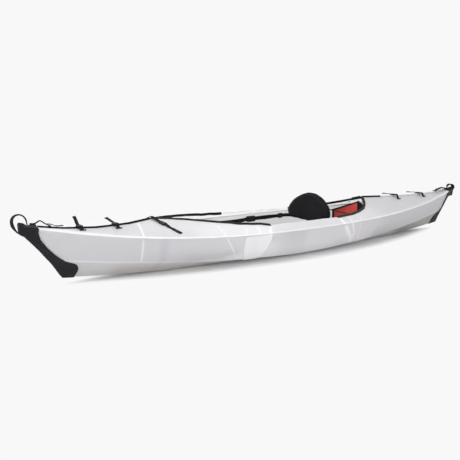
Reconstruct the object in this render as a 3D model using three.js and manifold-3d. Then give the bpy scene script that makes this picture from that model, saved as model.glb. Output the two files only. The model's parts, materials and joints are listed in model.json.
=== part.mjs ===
import * as THREE from 'three';
import { mergeVertices } from 'three/addons/utils/BufferGeometryUtils.js';
import Module from 'manifold-3d';

// A folding kayak, set up for paddling: +X to the bow, +Y to port, +Z up, millimetres.
// The origin is the middle of the flat keel strip that it rests on.

// Driving dimensions: overall
const kayakLength = 3683;
const kayakBeam = 737;
const sheetWall = 5;
const pieceGap = 0.3;
const foldGap = 0.4;
const overrun = 60;

// Hull lines: chines, keel and stems
const chineMidHeight = 219;
const bowChineHeight = 362;
const sternChineHeight = 318;
const chinePowerShare = 2.65;
const bowFullnessShare = 2.7;
const sternFullnessShare = 1.9;
const tipHalfBeam = 14;
const keelHalfWidth = 85;
const stemHalfWidth = 5;
const keelFlatHalfLength = 620;
const bowFootRise = 43;
const sternFootRise = 50;
const bowRake = 223;
const sternRake = 205;
const bowStemTop = 335;
const sternStemTop = 333;
const bowChinHeight = 318;
const sternChinHeight = 262;
const bowStemShare = 0.85;
const sternStemShare = 1;
const bilgeHalfWidth = 200;
const bilgeMidHeight = 18;
const bowBilgeHeight = 157;
const sternBilgeHeight = 161;
const bilgeSetback = 168;
const bowBilgeShare = 3.3;
const sternBilgeShare = 2.8;
const bilgeRiseShare = 1.58;
const bilgeConvexShare = 1.28;
const stemBilgeShare = 0.25;
const deckRise = 190;

// Height of the deck ridge over the chine, as shares of half length and of the deck rise
const ridgeShares = [
  [-1, 0.02], [-0.865, 0.085], [-0.715, 0.205], [-0.505, 0.42], [-0.4, 0.515], [-0.13, 0.66], [0, 0.75],
  [0.2, 1], [0.38, 0.7], [0.565, 0.41], [0.652, 0.232], [0.761, 0.09], [0.87, 0.02], [1, 0.01],
];

// Cross sections along the hull, as shares of half length; the hollow ends short of the tips
const evenStationShares = [
  -1, -0.985, -0.97, -0.943, -0.91, -0.87, -0.82, -0.76, -0.7, -0.63, -0.565, -0.505, -0.45, -0.4, -0.33, -0.26, -0.19,
  -0.13, -0.05, 0.05, 0.13, 0.2, 0.26, 0.32, 0.38, 0.44, 0.5, 0.565, 0.61, 0.652, 0.7, 0.761, 0.82, 0.87, 0.91,
  0.943, 0.97, 0.985, 1,
];
const hollowShare = 0.972;

// Cockpit: plan outline of the port half, from the front apex round to the rear apex
const cockpitFront = 1037;
const cockpitRear = 740;
const cockpitHalfWidth = 288;
const cockpitShares = [
  [1, 0], [0.87, 0.236], [0.755, 0.45], [0.66, 0.615], [0.535, 0.815], [0.425, 0.91], [0.345, 1],
  [0.2, 0.983], [0, 0.955], [-0.325, 0.93], [-0.54, 0.85], [-0.675, 0.74], [-0.78, 0.615], [-0.865, 0.44],
  [-0.93, 0.265], [-0.98, 0.1], [-1, 0],
];

// Edge trims and seam channels
const trimWall = 2.7;
const trimRise = 4.5;
const channelRise = 9;
const channelRibHalf = 4.5;
const trimOverlap = 11;
const frontApexShare = 2.3;
const rearApexShare = 1.2;
const seamHalfGap = 2;
const seamWebHalf = 1.7;
const channelHalfWidth = 8;
const frontTrimEnd = 358;
const rearTrimEnd = -240;
const blackSeamEnd = -945;

// Fabric caps over both tips: side outlines of the inner edges, from the tip, as shares of the rake and of
// the chine's height
const capWall = 3.2;
const bowCapShares = [
  [-0.5, 1.3], [0.4, 1.3], [0.4, 0.873], [0.444, 0.779], [0.52, 0.704], [0.619, 0.619], [0.749, 0.533], [0.888, 0.453],
  [1.004, 0.403], [1.117, 0.373], [1.224, 0.351], [1.29, 0.322], [1.332, 0.27], [1.332, 0.22], [1.305, 0.16],
  [1.25, 0.06], [1.2, -0.08], [-0.5, -0.08],
];
const sternCapShares = [
  [-0.45, 1.3], [0.44, 1.3], [0.44, 0.955], [0.58, 0.93], [0.68, 0.755], [0.83, 0.61], [1.0, 0.52], [1.27, 0.4],
  [1.38, 0.32], [1.42, 0.2], [1.42, 0.1], [1.38, -0.08], [-0.45, -0.08],
];

// Webbing, deck anchors and side-release buckles
const webbingWidth = 20;
const webbingThickness = 2;
const anchorLength = 38;
const farAnchorLength = 24;
const farAnchorReach = 38;
const anchorDepth = 10;
const anchorHeight = 6;
const anchorReach = 62;
const buckleWidth = 28;
const buckleThickness = 9;
const buckleWall = 2;
const buckleLift = 2;
const buckleOffset = 6;
const femaleLength = 30;
const maleBaseLength = 19;
const prongClearance = 0.5;
const prongWidth = 3.5;

// Straps across the deck seams, from bow to stern
const frontStrapShares = [0.585, 0.314];
const rearStrapShares = [0.325, 0.602];
const frontTails = [[66, 40], [122, 12]];
const rearTails = [[96, -5], [104, -7]];
const apexTail = [70, 5];
const apexPortSetback = 42;
const apexPortReach = 190;
const apexPatchLength = 72;
const apexPatchWidth = 24;
const apexPatchHeight = 4;
const apexCrossingLead = 15;
const apexStarboardLead = 35;
const apexBuckleSetback = 98;

// Cap straps, ladder buckles and carrying handles
const capBuckleSetback = 117;
const capBuckleEnd = 147;
const bowStrapStarts = [60, 86];
const sternStrapStarts = [74, 94];
const bowStrapRises = [27, 9];
const sternStrapRises = [14, 15];
const bowStrapEndShares = [0.1108, 0.3325, 0.5484];
const sternStrapEndShares = [0.2862, 0.1413, 0.221];
const bowTailRises = [11, 4, 8];
const sternTailRises = [17, 14, 12];
const handleWidth = 30;
const handleThickness = 3;
const handleRootRadius = 4;
const handleRootGap = 0.8;
const bowHandleSetback = 45;
const sternHandleSetback = 66;
const bowHandleDrop = 42;
const sternHandleDrop = 24;
const bowHandleRise = 98;
const sternHandleRise = 60;
const bowHandleReach = 84;
const sternHandleReach = 44;
const handleTwist = [32, -36];

// Floorboard, seat and backrest
const floorboardThickness = 4;
const floorboardLength = [-470, 900];
const floorboardHalfWidth = 165;
const floorboardTaper = 60;
const seatFront = 230;
const seatRear = -170;
const seatHalfWidth = 185;
const seatHeight = 46;
const seatCrown = 6;
const seatCornerShare = 0.3;
const hingeHalfWidth = 40;
const hingeRadius = 4;
const hingeLipDepth = 10;
const backrestBottom = [-204, 188];
const backrestHeight = 219;
const backrestHalfWidth = 228;
const backrestThickness = 46;
const backrestCrown = 3;
const backrestMiddleShare = 0.45;
const crownShare = 0.4;
const backrestLean = 12;
const backrestStemThickness = 4;

// Side straps that hold the backrest
const sideWebbingWidth = 25;
const sideStrapPlane = 244;
const sideStrapHeight = 204;
const sideBuckleJoint = 125;
const sideBuckleShare = 1.5;
const sliderPlace = -140;
const sliderLength = 34;
const sliderWidth = 36;
const sliderThickness = 8;

// Bulkhead behind the seat, folded a little at its middle
const bulkheadLead = 28;
const bulkheadFoldAngle = 12;
const bulkheadTop = 296;
const bulkheadShoulder = 207;
const bulkheadHalfWidth = 234;
const bulkheadThickness = 6;
const bindingWidth = 13;
const bindingWall = 1.6;
const bungeeRadius = 3;

// Foot brace
const bracePlace = 860;
const braceBaseLength = 90;
const braceBaseHalfWidth = 70;
const braceHalfWidth = 150;
const braceHeight = 150;
const braceWall = 8;
const braceTilt = 24;
const footStrapHeight = 100;
const footStrapAnchor = 450;

// Deck buttons and the clip on the rear trim
const buttonRadius = 8;
const buttonHeight = 4;
const buttonSetback = 25;
const buttonReach = 151;
const clipHeight = 6;

const wasm = await Module();
wasm.setup();

const halfSheet = kayakLength / 2 - capWall - pieceGap;
const foredeck = halfSheet - cockpitFront;
const afterdeck = halfSheet - cockpitRear;
const bulkheadX = bulkheadLead - cockpitRear;
const bowFootReach = halfSheet - bowRake;
const sternFootReach = halfSheet - sternRake;
const bilgeReach = halfSheet - bilgeSetback;

// The stations, with one at the foot of each stem
const footShares = [-sternFootReach / halfSheet, bowFootReach / halfSheet];
const stationShares = [...evenStationShares, ...footShares].sort((a, b) => a - b);

// Piecewise straight value at x in a list of [x, value] pairs
function along(pairs, x) {
  let index = 1;
  while (index < pairs.length - 1 && x > pairs[index][0]) index += 1;
  const [x0, v0] = pairs[index - 1];
  const [x1, v1] = pairs[index];
  const share = Math.min(Math.max((x - x0) / (x1 - x0), 0), 1);
  return v0 + (v1 - v0) * share;
}

const ridgeRisePairs = ridgeShares.map(([at, rise]) => [at * halfSheet, rise * deckRise]);

// Chine, keel, bilge and ridge of one cross section
function hullLines(x) {
  const forward = x > 0;
  const reach = Math.min(Math.abs(x) / halfSheet, 1);
  const fullness = forward ? bowFullnessShare : sternFullnessShare;
  const beam = tipHalfBeam + (kayakBeam / 2 - tipHalfBeam) * (1 - reach ** fullness);
  const endHeight = forward ? bowChineHeight : sternChineHeight;
  const chine = chineMidHeight + (endHeight - chineMidHeight) * reach ** chinePowerShare;
  const ridge = chine + along(ridgeRisePairs, x);

  const foot = forward ? bowFootReach : sternFootReach;
  const distance = Math.abs(x);
  const stemTop = forward ? bowStemTop : sternStemTop;
  const stemShare = forward ? bowStemShare : sternStemShare;
  const footRise = forward ? bowFootRise : sternFootRise;
  const chin = forward ? bowChinHeight : sternChinHeight;
  const rocker = Math.max(distance - keelFlatHalfLength, 0) / (foot - keelFlatHalfLength);
  let keel = footRise * Math.min(rocker, 1) ** 2;
  let keelHalf = stemHalfWidth + (keelHalfWidth - stemHalfWidth) * (1 - Math.min(distance / foot, 1) ** 2);
  if (distance > foot) {
    keel += (stemTop - footRise) * ((distance - foot) / (halfSheet - foot)) ** stemShare;
    keel = Math.min(keel, chin);
    keelHalf = stemHalfWidth;
  }

  const bilgeShare = Math.min(distance / bilgeReach, 1);
  const bilgeEnd = forward ? bowBilgeHeight : sternBilgeHeight;
  const bilgeCurve = forward ? bowBilgeShare : sternBilgeShare;
  let bilge = bilgeMidHeight + (bilgeEnd - bilgeMidHeight) * bilgeShare ** bilgeRiseShare;
  bilge = Math.max(bilge, keel + (chine - keel) * stemBilgeShare * (distance > foot ? 1 : 0));
  const straight = keelHalf + ((beam - keelHalf) * (bilge - keel)) / (chine - keel);
  const bilgeHalf = Math.max(bilgeHalfWidth * (1 - bilgeShare ** bilgeCurve), straight * bilgeConvexShare);
  return { beam, chine, ridge, keel, keelHalf, bilge, bilgeHalf };
}

// Closed cross section, port keel corner first, moved out (or in) by an offset along its corners' normals
function sectionPoints(x, offset) {
  const lines = hullLines(x);
  const port = [
    [lines.keelHalf, lines.keel],
    [lines.bilgeHalf, lines.bilge],
    [lines.beam, lines.chine],
    [lines.beam / 2, (lines.chine + lines.ridge) / 2],
  ];
  const ring = [...port, [0, lines.ridge], ...port.map(([y, z]) => [-y, z]).reverse()];
  return offsetLoop(ring, offset);
}

// Moves each corner of a closed anticlockwise loop outwards by the same wall distance
function offsetLoop(loop, offset) {
  const count = loop.length;
  return loop.map(([y, z], index) => {
    const before = loop[(index + count - 1) % count];
    const after = loop[(index + 1) % count];
    const a = new THREE.Vector2(z - before[1], before[0] - y).normalize();
    const b = new THREE.Vector2(after[1] - z, y - after[0]).normalize();
    const scale = offset / (1 + a.dot(b));
    return [y + (a.x + b.x) * scale, z + (a.y + b.y) * scale];
  });
}

// Closed triangle mesh through rings of equal length, with fan caps
function loft(rings) {
  const positions = [];
  const index = [];
  const size = rings[0].length;
  rings.forEach((ring) => ring.forEach((point) => positions.push(...point)));
  for (let row = 0; row < rings.length - 1; row += 1) {
    for (let column = 0; column < size; column += 1) {
      const next = (column + 1) % size;
      const a = row * size + column;
      const b = row * size + next;
      index.push(a, b, a + size, b, b + size, a + size);
    }
  }
  [rings[0], rings[rings.length - 1]].forEach((ring, end) => {
    const centre = new THREE.Vector3();
    ring.forEach((point) => centre.add(new THREE.Vector3(...point)));
    centre.divideScalar(size);
    positions.push(...centre.toArray());
    const middle = positions.length / 3 - 1;
    const first = end === 0 ? 0 : (rings.length - 1) * size;
    for (let column = 0; column < size; column += 1) {
      const a = first + column;
      const b = first + ((column + 1) % size);
      if (end === 0) index.push(middle, b, a);
      else index.push(middle, a, b);
    }
  });
  return solidOf(positions, index);
}

// Manifold solid of a triangle list, turned inside out if it was wound the wrong way
function solidOf(positions, index) {
  const vertProperties = new Float32Array(positions);
  const solid = new wasm.Manifold(new wasm.Mesh({ numProp: 3, vertProperties, triVerts: new Uint32Array(index) }));
  if (solid.volume() > 0) return solid;
  const turned = [];
  for (let at = 0; at < index.length; at += 3) turned.push(index[at], index[at + 2], index[at + 1]);
  return new wasm.Manifold(new wasm.Mesh({ numProp: 3, vertProperties, triVerts: new Uint32Array(turned) }));
}

// Manifold solid of a three.js geometry
function solidFrom(geometry) {
  const bare = geometry.clone();
  bare.deleteAttribute('normal');
  bare.deleteAttribute('uv');
  const merged = mergeVertices(bare);
  return solidOf(Array.from(merged.attributes.position.array), Array.from(merged.index.array));
}

function box(from, to) {
  const size = to.map((value, axis) => value - from[axis]);
  const geometry = new THREE.BoxGeometry(...size);
  geometry.translate(...from.map((value, axis) => value + size[axis] / 2));
  return solidFrom(geometry);
}

// Flat outline pushed along +Z
function prism(outline, bottom, top) {
  const shape = new THREE.Shape(outline.map(([x, y]) => new THREE.Vector2(x, y)));
  const geometry = new THREE.ExtrudeGeometry(shape, { depth: top - bottom, bevelEnabled: false });
  geometry.translate(0, 0, bottom);
  return solidFrom(geometry);
}

// Outline in side view, x and z, pushed right across the hull
function sideCut(outline) {
  const shape = new THREE.Shape(outline.map(([x, z]) => new THREE.Vector2(x, z)));
  const geometry = new THREE.ExtrudeGeometry(shape, { depth: kayakBeam * 2, bevelEnabled: false });
  geometry.rotateX(Math.PI / 2);
  geometry.translate(0, kayakBeam, 0);
  return solidFrom(geometry);
}

// Whole outer form of the kayak moved out by an offset; the end stations move out with it
const formCache = new Map();
function hullForm(offset, reachShare = 1) {
  const key = `${offset}:${reachShare}`;
  if (!formCache.has(key)) {
    const stretch = (halfSheet + offset) / halfSheet;
    const stations = stationShares.filter((share) => Math.abs(share) <= reachShare);
    const rings = stations.map((share) => {
      const x = share * halfSheet;
      return sectionPoints(x, offset).map(([y, z]) => [x * stretch, y, z]);
    });
    formCache.set(key, loft(rings));
  }
  return formCache.get(key);
}

// Skin between two offsets from the outer form
function skin(low, high) {
  return hullForm(high).subtract(hullForm(low));
}

// Inside surface of the sheet, less a clearance
function hollow(clearance = 0) {
  return hullForm(-sheetWall - clearance, hollowShare);
}

// Deck surface height at a plan position, straight between the stations
function deckHeight(x, y) {
  const stations = stationShares.map((share) => share * halfSheet);
  const chine = along(stations.map((at) => [at, hullLines(at).chine]), x);
  const ridge = along(stations.map((at) => [at, hullLines(at).ridge]), x);
  const beam = along(stations.map((at) => [at, hullLines(at).beam]), x);
  return ridge + ((chine - ridge) * Math.abs(y)) / beam;
}

// Highest point, near one place on the centre line, of a form that lies outside the sheet
function ridgeTop(x, offset, reach = 0) {
  const places = [x - reach, x, x + reach];
  return Math.max(...places.flatMap((at) => sectionPoints(at, offset).map(([, z]) => z)));
}

// Upward normal of the deck
function deckNormal(x, y, step) {
  const alongX = (deckHeight(x + step, y) - deckHeight(x - step, y)) / (2 * step);
  const alongY = (deckHeight(x, y + step) - deckHeight(x, y - step)) / (2 * step);
  return new THREE.Vector3(-alongX, -alongY, 1).normalize();
}

// Band with a width and a thickness along a list of points; the width points along one direction
function ribbon(points, across, width, thickness) {
  const path = points.map((point) => new THREE.Vector3(...point));
  const widthOf = typeof width === 'function' ? width : () => width;
  const acrossOf = typeof across === 'function' ? across : () => across;
  const rings = path.map((point, index) => {
    const direction = new THREE.Vector3(...acrossOf(index / (path.length - 1))).normalize();
    const before = path[Math.max(index - 1, 0)];
    const after = path[Math.min(index + 1, path.length - 1)];
    const tangent = after.clone().sub(before).normalize();
    const normal = new THREE.Vector3().crossVectors(tangent, direction).normalize();
    const half = widthOf(index / (path.length - 1)) / 2;
    return [[-1, -1], [1, -1], [1, 1], [-1, 1]].map(([w, n]) => {
      const corner = point.clone().addScaledVector(direction, w * half);
      return corner.addScaledVector(normal, (n * thickness) / 2).toArray();
    });
  });
  return loft(rings);
}

// Cylinder between two points
function rod(from, to, radius, sides) {
  const a = new THREE.Vector3(...from);
  const b = new THREE.Vector3(...to);
  const geometry = new THREE.CylinderGeometry(radius, radius, a.distanceTo(b), sides);
  const turn = new THREE.Quaternion().setFromUnitVectors(new THREE.Vector3(0, 1, 0), b.clone().sub(a).normalize());
  geometry.applyQuaternion(turn);
  geometry.translate(...a.add(b).multiplyScalar(0.5).toArray());
  return solidFrom(geometry);
}

const kayak = new THREE.Group();
const whiteSheet = new THREE.MeshStandardMaterial({ color: 0xf2f2f4, roughness: 0.35, metalness: 0 });
const blackRubber = new THREE.MeshStandardMaterial({ color: 0x1b1b1f, roughness: 0.7, metalness: 0 });
const blackWebbing = new THREE.MeshStandardMaterial({ color: 0x18181b, roughness: 0.9, metalness: 0 });
const blackPlastic = new THREE.MeshStandardMaterial({ color: 0x202024, roughness: 0.5, metalness: 0 });
const paddedFabric = new THREE.MeshStandardMaterial({ color: 0x1e1e24, roughness: 0.95, metalness: 0 });
const redFabric = new THREE.MeshStandardMaterial({ color: 0xc43a31, roughness: 0.8, metalness: 0 });

// Adds a solid to the kayak as a named mesh with a material of its own
function addPiece(name, solid, material) {
  const source = solid.getMesh();
  const geometry = new THREE.BufferGeometry();
  geometry.setAttribute('position', new THREE.BufferAttribute(source.vertProperties, source.numProp));
  geometry.setIndex(new THREE.BufferAttribute(source.triVerts, 1));
  geometry.computeVertexNormals();
  const mesh = new THREE.Mesh(geometry, material.clone());
  mesh.name = name;
  kayak.add(mesh);
}

// Largest connected body of a solid
function mainBody(solid) {
  const bodies = solid.decompose();
  return bodies.reduce((best, body) => (body.volume() > best.volume() ? body : best));
}

// Everything on one side of the centre plane, past a small distance from it
function sideOf(solid, side, distance) {
  const near = side * distance;
  const far = side * kayakBeam;
  const reach = kayakLength;
  return solid.intersect(box([-reach, Math.min(near, far), -reach], [reach, Math.max(near, far), reach]));
}

// Cockpit outline in plan, moved out by an offset
const cockpitPort = cockpitShares.map(([at, width]) => {
  const x = at > 0 ? at * cockpitFront : at * cockpitRear;
  return [x, width * cockpitHalfWidth];
});
const cockpitLoop = [...cockpitPort, ...cockpitPort.slice(1, -1).map(([x, y]) => [x, -y]).reverse()];
function cockpitPrism(offset) {
  const bottom = chineMidHeight - 2 * sheetWall;
  return prism(offsetLoop(cockpitLoop, offset), bottom, bottom + kayakBeam);
}

// Region above the fold along the chine: it leaves the corner along the mitre of side and deck
function deckRegion(drop) {
  const rings = stationShares.map((share) => {
    const x = share * halfSheet;
    const outer = sectionPoints(x, 0)[2];
    const inner = sectionPoints(x, -sheetWall)[2];
    const mitre = new THREE.Vector2(outer[0] - inner[0], outer[1] - inner[1]).normalize();
    const far = [outer[0] + mitre.x * overrun, outer[1] + mitre.y * overrun];
    const near = [Math.max(inner[0] - mitre.x * 2 * sheetWall, seamHalfGap), inner[1] - mitre.y * 2 * sheetWall];
    const top = [far[0], kayakBeam];
    const port = [near, far, top].map(([y, z]) => [y, z - drop]);
    const stretch = (halfSheet + overrun) / halfSheet;
    return [...port, ...port.map(([y, z]) => [-y, z]).reverse()].map(([y, z]) => [x * stretch, y, z]);
  });
  return loft(rings);
}

// Sheet hull: bottom and sides in one, with the doubled sheet of the tuck on each side
const tuckRise = 5;
const tuckShares = [
  [0.2133, 1], [0.2024, 0.73], [0.2013, 0.46], [0.2095, 0.23], [0.2285, 0.146], [0.272, 0.155], [0.2965, 0.55],
  [0.318, 1],
];
function sheetPieces() {
  const shell = hullForm(0).subtract(hollow());
  const tuckOutline = tuckShares.map(([x, z]) => [x * halfSheet, z * chineMidHeight - tuckRise]);
  const tuck = skin(-sheetWall / 2, tuckRise).intersect(sideCut(tuckOutline));
  const trough = shell.subtract(deckRegion(foldGap)).add(tuck.subtract(deckRegion(foldGap)));
  addPiece('hull_sheet', mainBody(trough), whiteSheet);

  const deck = shell.intersect(deckRegion(0)).subtract(cockpitPrism(0));
  addPiece('deck_port', mainBody(sideOf(deck, 1, seamHalfGap)), whiteSheet);
  addPiece('deck_starboard', mainBody(sideOf(deck, -1, seamHalfGap)), whiteSheet);
}

// Deck sheet with its clearance, open where the cockpit is cut
const deckShell = hullForm(pieceGap).subtract(hullForm(-sheetWall - pieceGap));
const deckEnvelope = deckShell.subtract(cockpitPrism(-pieceGap));

// Rubber edging of the cockpit: a C-shaped strip that grips the cut edge
function coamingTrims() {
  const strip = hullForm(trimRise + pieceGap).subtract(hullForm(-sheetWall - trimWall - pieceGap));
  const band = cockpitPrism(trimOverlap).subtract(cockpitPrism(-trimWall - pieceGap));
  const grip = strip.intersect(band).subtract(deckEnvelope);
  const reach = kayakLength;
  const frontBox = box([frontTrimEnd, -reach, -reach], [reach, reach, reach]);
  const rearBox = box([-reach, -reach, -reach], [rearTrimEnd, reach, reach]);
  const front = grip.intersect(frontBox);
  addPiece('coaming_trim_front_port', mainBody(sideOf(front, 1, pieceGap / 2)), blackRubber);
  addPiece('coaming_trim_front_starboard', mainBody(sideOf(front, -1, pieceGap / 2)), blackRubber);
  addPiece('coaming_trim_rear', mainBody(grip.intersect(rearBox)), blackRubber);
}

// Height of the seam channel's crest over the deck sheet
const channelTop = channelRise + pieceGap;

// Everything between two distances along the kayak
function between(solid, from, to) {
  const reach = kayakLength;
  return solid.intersect(box([Math.min(from, to), -reach, -reach], [Math.max(from, to), reach, reach]));
}

// Channel strips that grip both deck edges along the centre line
function seamChannels() {
  const reach = kayakLength;
  const rail = box([-reach, -channelHalfWidth, chineMidHeight], [reach, channelHalfWidth, reach]);
  const web = box([-reach, -seamWebHalf, -reach], [reach, seamWebHalf, reach]);
  const strip = hullForm(trimWall + pieceGap).subtract(hullForm(-sheetWall - trimWall - pieceGap));
  const rib = box([-reach, -channelRibHalf, chineMidHeight], [reach, channelRibHalf, reach]);
  const ridge = skin(trimWall, channelTop).intersect(rib);
  const channel = strip.intersect(rail).subtract(deckEnvelope.subtract(web)).add(ridge);
  const bowEnd = halfSheet - bowCapShares[2][0] * bowRake - 2 * sheetWall;
  const sternEnd = sternCapShares[1][0] * sternRake - halfSheet + 2 * sheetWall;
  const frontStart = cockpitFront + trimOverlap * frontApexShare + pieceGap;
  const rearStart = -cockpitRear - trimOverlap * rearApexShare - pieceGap;
  addPiece('front_seam_channel', mainBody(between(channel, frontStart, bowEnd)), blackRubber);
  addPiece('rear_seam_channel', mainBody(between(channel, rearStart, blackSeamEnd)), blackRubber);
  addPiece('rear_seam_strip', mainBody(between(channel, blackSeamEnd - pieceGap, sternEnd)), whiteSheet);
}

// Fitted caps that close both tips
function tipCaps() {
  const shell = skin(pieceGap, pieceGap + capWall);
  const bow = sideCut(bowCapShares.map(([x, z]) => [halfSheet - x * bowRake, z * bowChineHeight]));
  const stern = sideCut(sternCapShares.map(([x, z]) => [x * sternRake - halfSheet, z * sternChineHeight]));
  addPiece('bow_cap', mainBody(shell.intersect(bow)), blackRubber);
  addPiece('stern_cap', mainBody(shell.intersect(stern)), blackRubber);
}

// Places a solid made along its own axes: release direction, width and upward normal
function place(solid, origin, release, width) {
  const a = new THREE.Vector3(...release).normalize();
  const w = new THREE.Vector3(...width).normalize();
  const n = new THREE.Vector3().crossVectors(a, w).normalize();
  const matrix = new THREE.Matrix4().makeBasis(a, w, n).setPosition(...origin);
  return solid.transform(matrix.elements);
}

// Point given along the same three axes
function placePoint(point, origin, release, width) {
  const a = new THREE.Vector3(...release).normalize();
  const w = new THREE.Vector3(...width).normalize();
  const n = new THREE.Vector3().crossVectors(a, w).normalize();
  const at = new THREE.Vector3(...origin);
  at.addScaledVector(a, point[0]).addScaledVector(w, point[1]).addScaledVector(n, point[2]);
  return at.toArray();
}

// Female half of a side-release buckle: flat box with a mouth, side windows and a webbing slot
const femaleShares = [[-1, -0.64], [-0.9, -0.93], [-0.73, -1], [0, -1], [0, 1], [-0.73, 1], [-0.9, 0.93], [-1, 0.64]];
const mouthShare = 0.72;
const windowShares = [-0.66, -0.3];
const femaleSlotShares = [-0.95, -0.74];
function femaleHalf(scale) {
  const length = femaleLength * scale;
  const half = (buckleWidth * scale) / 2;
  const thick = buckleThickness * scale;
  const wall = buckleWall * scale;
  const body = prism(femaleShares.map(([a, w]) => [a * length, w * half]), 0, thick);
  const mouth = box([-mouthShare * length, wall - half, wall], [length, half - wall, thick - wall]);
  const [windowStart, windowEnd] = windowShares.map((share) => share * length);
  const windows = box([windowStart, -2 * half, wall], [windowEnd, 2 * half, thick - wall]);
  const slotHalf = half - 2 * wall;
  const [slotStart, slotEnd] = femaleSlotShares.map((share) => share * length);
  const slot = box([slotStart, -slotHalf, -wall], [slotEnd, slotHalf, 2 * thick]);
  return body.subtract(mouth).subtract(windows).subtract(slot);
}

// Male half: webbing base with two slots, a guide tongue and two spring arms
const maleShares = [[0, -0.9], [0.15, -1], [0.85, -1], [1, -0.86], [1, 0.86], [0.85, 1], [0.15, 1], [0, 0.9]];
const armShare = 0.62;
const maleSlotShares = [[0.3, 0.46], [0.66, 0.82]];
function maleHalf(scale) {
  const base = maleBaseLength * scale;
  const half = (buckleWidth * scale) / 2;
  const thick = buckleThickness * scale;
  const wall = buckleWall * scale;
  const tip = -armShare * femaleLength * scale;
  const low = wall + prongClearance;
  const high = thick - wall - prongClearance;
  const outer = half - wall - prongClearance;
  const arm = prongWidth * scale;
  const outline = maleShares.map(([a, w]) => [pieceGap + a * base, w * half]);
  let solid = prism(outline, prongClearance, thick - prongClearance);
  solid = solid.add(box([tip, -arm, low], [wall, arm, high]));
  solid = solid.add(box([tip, outer - arm, low], [wall, outer, high]));
  solid = solid.add(box([tip, -outer, low], [wall, arm - outer, high]));
  maleSlotShares.forEach(([from, to]) => {
    const slotHalf = half - 2 * wall;
    solid = solid.subtract(box([from * base, -slotHalf, -wall], [to * base, slotHalf, 2 * thick]));
  });
  return solid;
}

// Flat bar or patch that anchors webbing to the deck, shaped to the deck under it, long in one direction
function deckAnchor(x, y, run, length, width, height) {
  const corners = [[-1, -1], [1, -1], [1, 1], [-1, 1]].map(([a, w]) => [
    x + (a * run.x * length - w * run.y * width) / 2, y + (a * run.y * length + w * run.x * width) / 2,
  ]);
  return skin(pieceGap, pieceGap + height).intersect(prism(corners, chineMidHeight, kayakBeam));
}

// One buckled strap between two deck anchors
const tailShares = [[0, 0], [0.08, 0], [0.32, 0.26], [0.65, 0.66], [1, 1]];
function deckStrap(name, joint, release, width, port, starboard, crossing, portAnchor, [tailReach, tailRise]) {
  const middle = buckleThickness / 2;
  const anchorLift = pieceGap + anchorHeight / 2;
  const portEnd = [port[0], port[1], deckHeight(...port) + anchorLift];
  const starboardEnd = [starboard[0], starboard[1], deckHeight(...starboard) + anchorLift];
  const femaleEnd = placePoint([-femaleLength - pieceGap, 0, middle], joint, release, width);
  const maleEnd = placePoint([maleBaseLength + 2 * pieceGap, 0, middle], joint, release, width);
  addPiece(`${name}_female`, place(femaleHalf(1), joint, release, width), blackPlastic);
  addPiece(`${name}_clip`, place(maleHalf(1), joint, release, width), blackPlastic);

  const portBend = placePoint([-femaleLength - 2 * webbingThickness, 0, middle], joint, release, width);
  const starboardBend = placePoint([maleBaseLength + 2 * webbingThickness, 0, middle], joint, release, width);
  const portBand = ribbon([portEnd, portBend, femaleEnd], width, webbingWidth, webbingThickness);
  addPiece(`${name}_port`, portAnchor.add(portBand), blackWebbing);

  const starboardPath = [maleEnd, starboardBend, ...crossing, starboardEnd];
  const starboardBand = ribbon(starboardPath, width, webbingWidth, webbingThickness);
  let band = deckAnchor(...starboard, { x: 1, y: 0 }, farAnchorLength, anchorDepth, anchorHeight).add(starboardBand);
  const tail = tailShares.map(([a, n]) => {
    const local = [maleBaseLength + 2 * pieceGap + a * tailReach, 0, middle + n * tailRise];
    return placePoint(local, joint, release, width);
  });
  band = band.add(ribbon(tail, width, webbingWidth, webbingThickness));
  addPiece(`${name}_starboard`, mainBody(band), blackWebbing);
}

// The straps over both seams, and the long one at the cockpit's front apex
function deckStraps() {
  const across = [0, -1, 0];
  const fore = [1, 0, 0];
  const straps = [
    ...frontStrapShares.map((share, index) => [
      `front_strap_${index + 1}`, cockpitFront + share * foredeck, frontTails[index],
    ]),
    ...rearStrapShares.map((share, index) => [
      `rear_strap_${index + 1}`, -cockpitRear - share * afterdeck, rearTails[index],
    ]),
  ];
  straps.forEach(([name, x, tail]) => {
    const joint = [x, buckleOffset, ridgeTop(x, channelTop, buckleWidth / 2) + pieceGap];
    const bar = deckAnchor(x, anchorReach, { x: 1, y: 0 }, anchorLength, anchorDepth, anchorHeight);
    deckStrap(name, joint, across, fore, [x, anchorReach], [x, -farAnchorReach], [], bar, tail);
  });

  const [portX, portY] = [cockpitFront - apexPortSetback, apexPortReach];
  const crossingX = cockpitFront + apexCrossingLead;
  const starboard = [cockpitFront + apexStarboardLead, -farAnchorReach];
  const run = new THREE.Vector2(crossingX - portX, -portY).normalize();
  const reach = Math.hypot(crossingX - portX, portY) - apexBuckleSetback;
  const [jointX, jointY] = [portX + run.x * reach, portY + run.y * reach];
  const normal = deckNormal(jointX, jointY, femaleLength);
  const width = normal.clone().cross(new THREE.Vector3(run.x, run.y, 0)).normalize();
  const release = width.clone().cross(normal);
  const joint = [jointX, jointY, deckHeight(jointX, jointY) + buckleLift];
  const crossingHeight = ridgeTop(crossingX, channelTop, webbingWidth) + 2 * webbingThickness;
  const crossing = [crossingX, 0, crossingHeight];
  const outward = (apexPatchLength - webbingWidth) / 2;
  const patch = deckAnchor(portX - run.x * outward, portY - run.y * outward, run, apexPatchLength, apexPatchWidth,
    apexPatchHeight);
  deckStrap('front_strap_3', joint, release.toArray(), width.toArray(), [portX, portY], starboard, [crossing], patch,
    apexTail);
}

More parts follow.
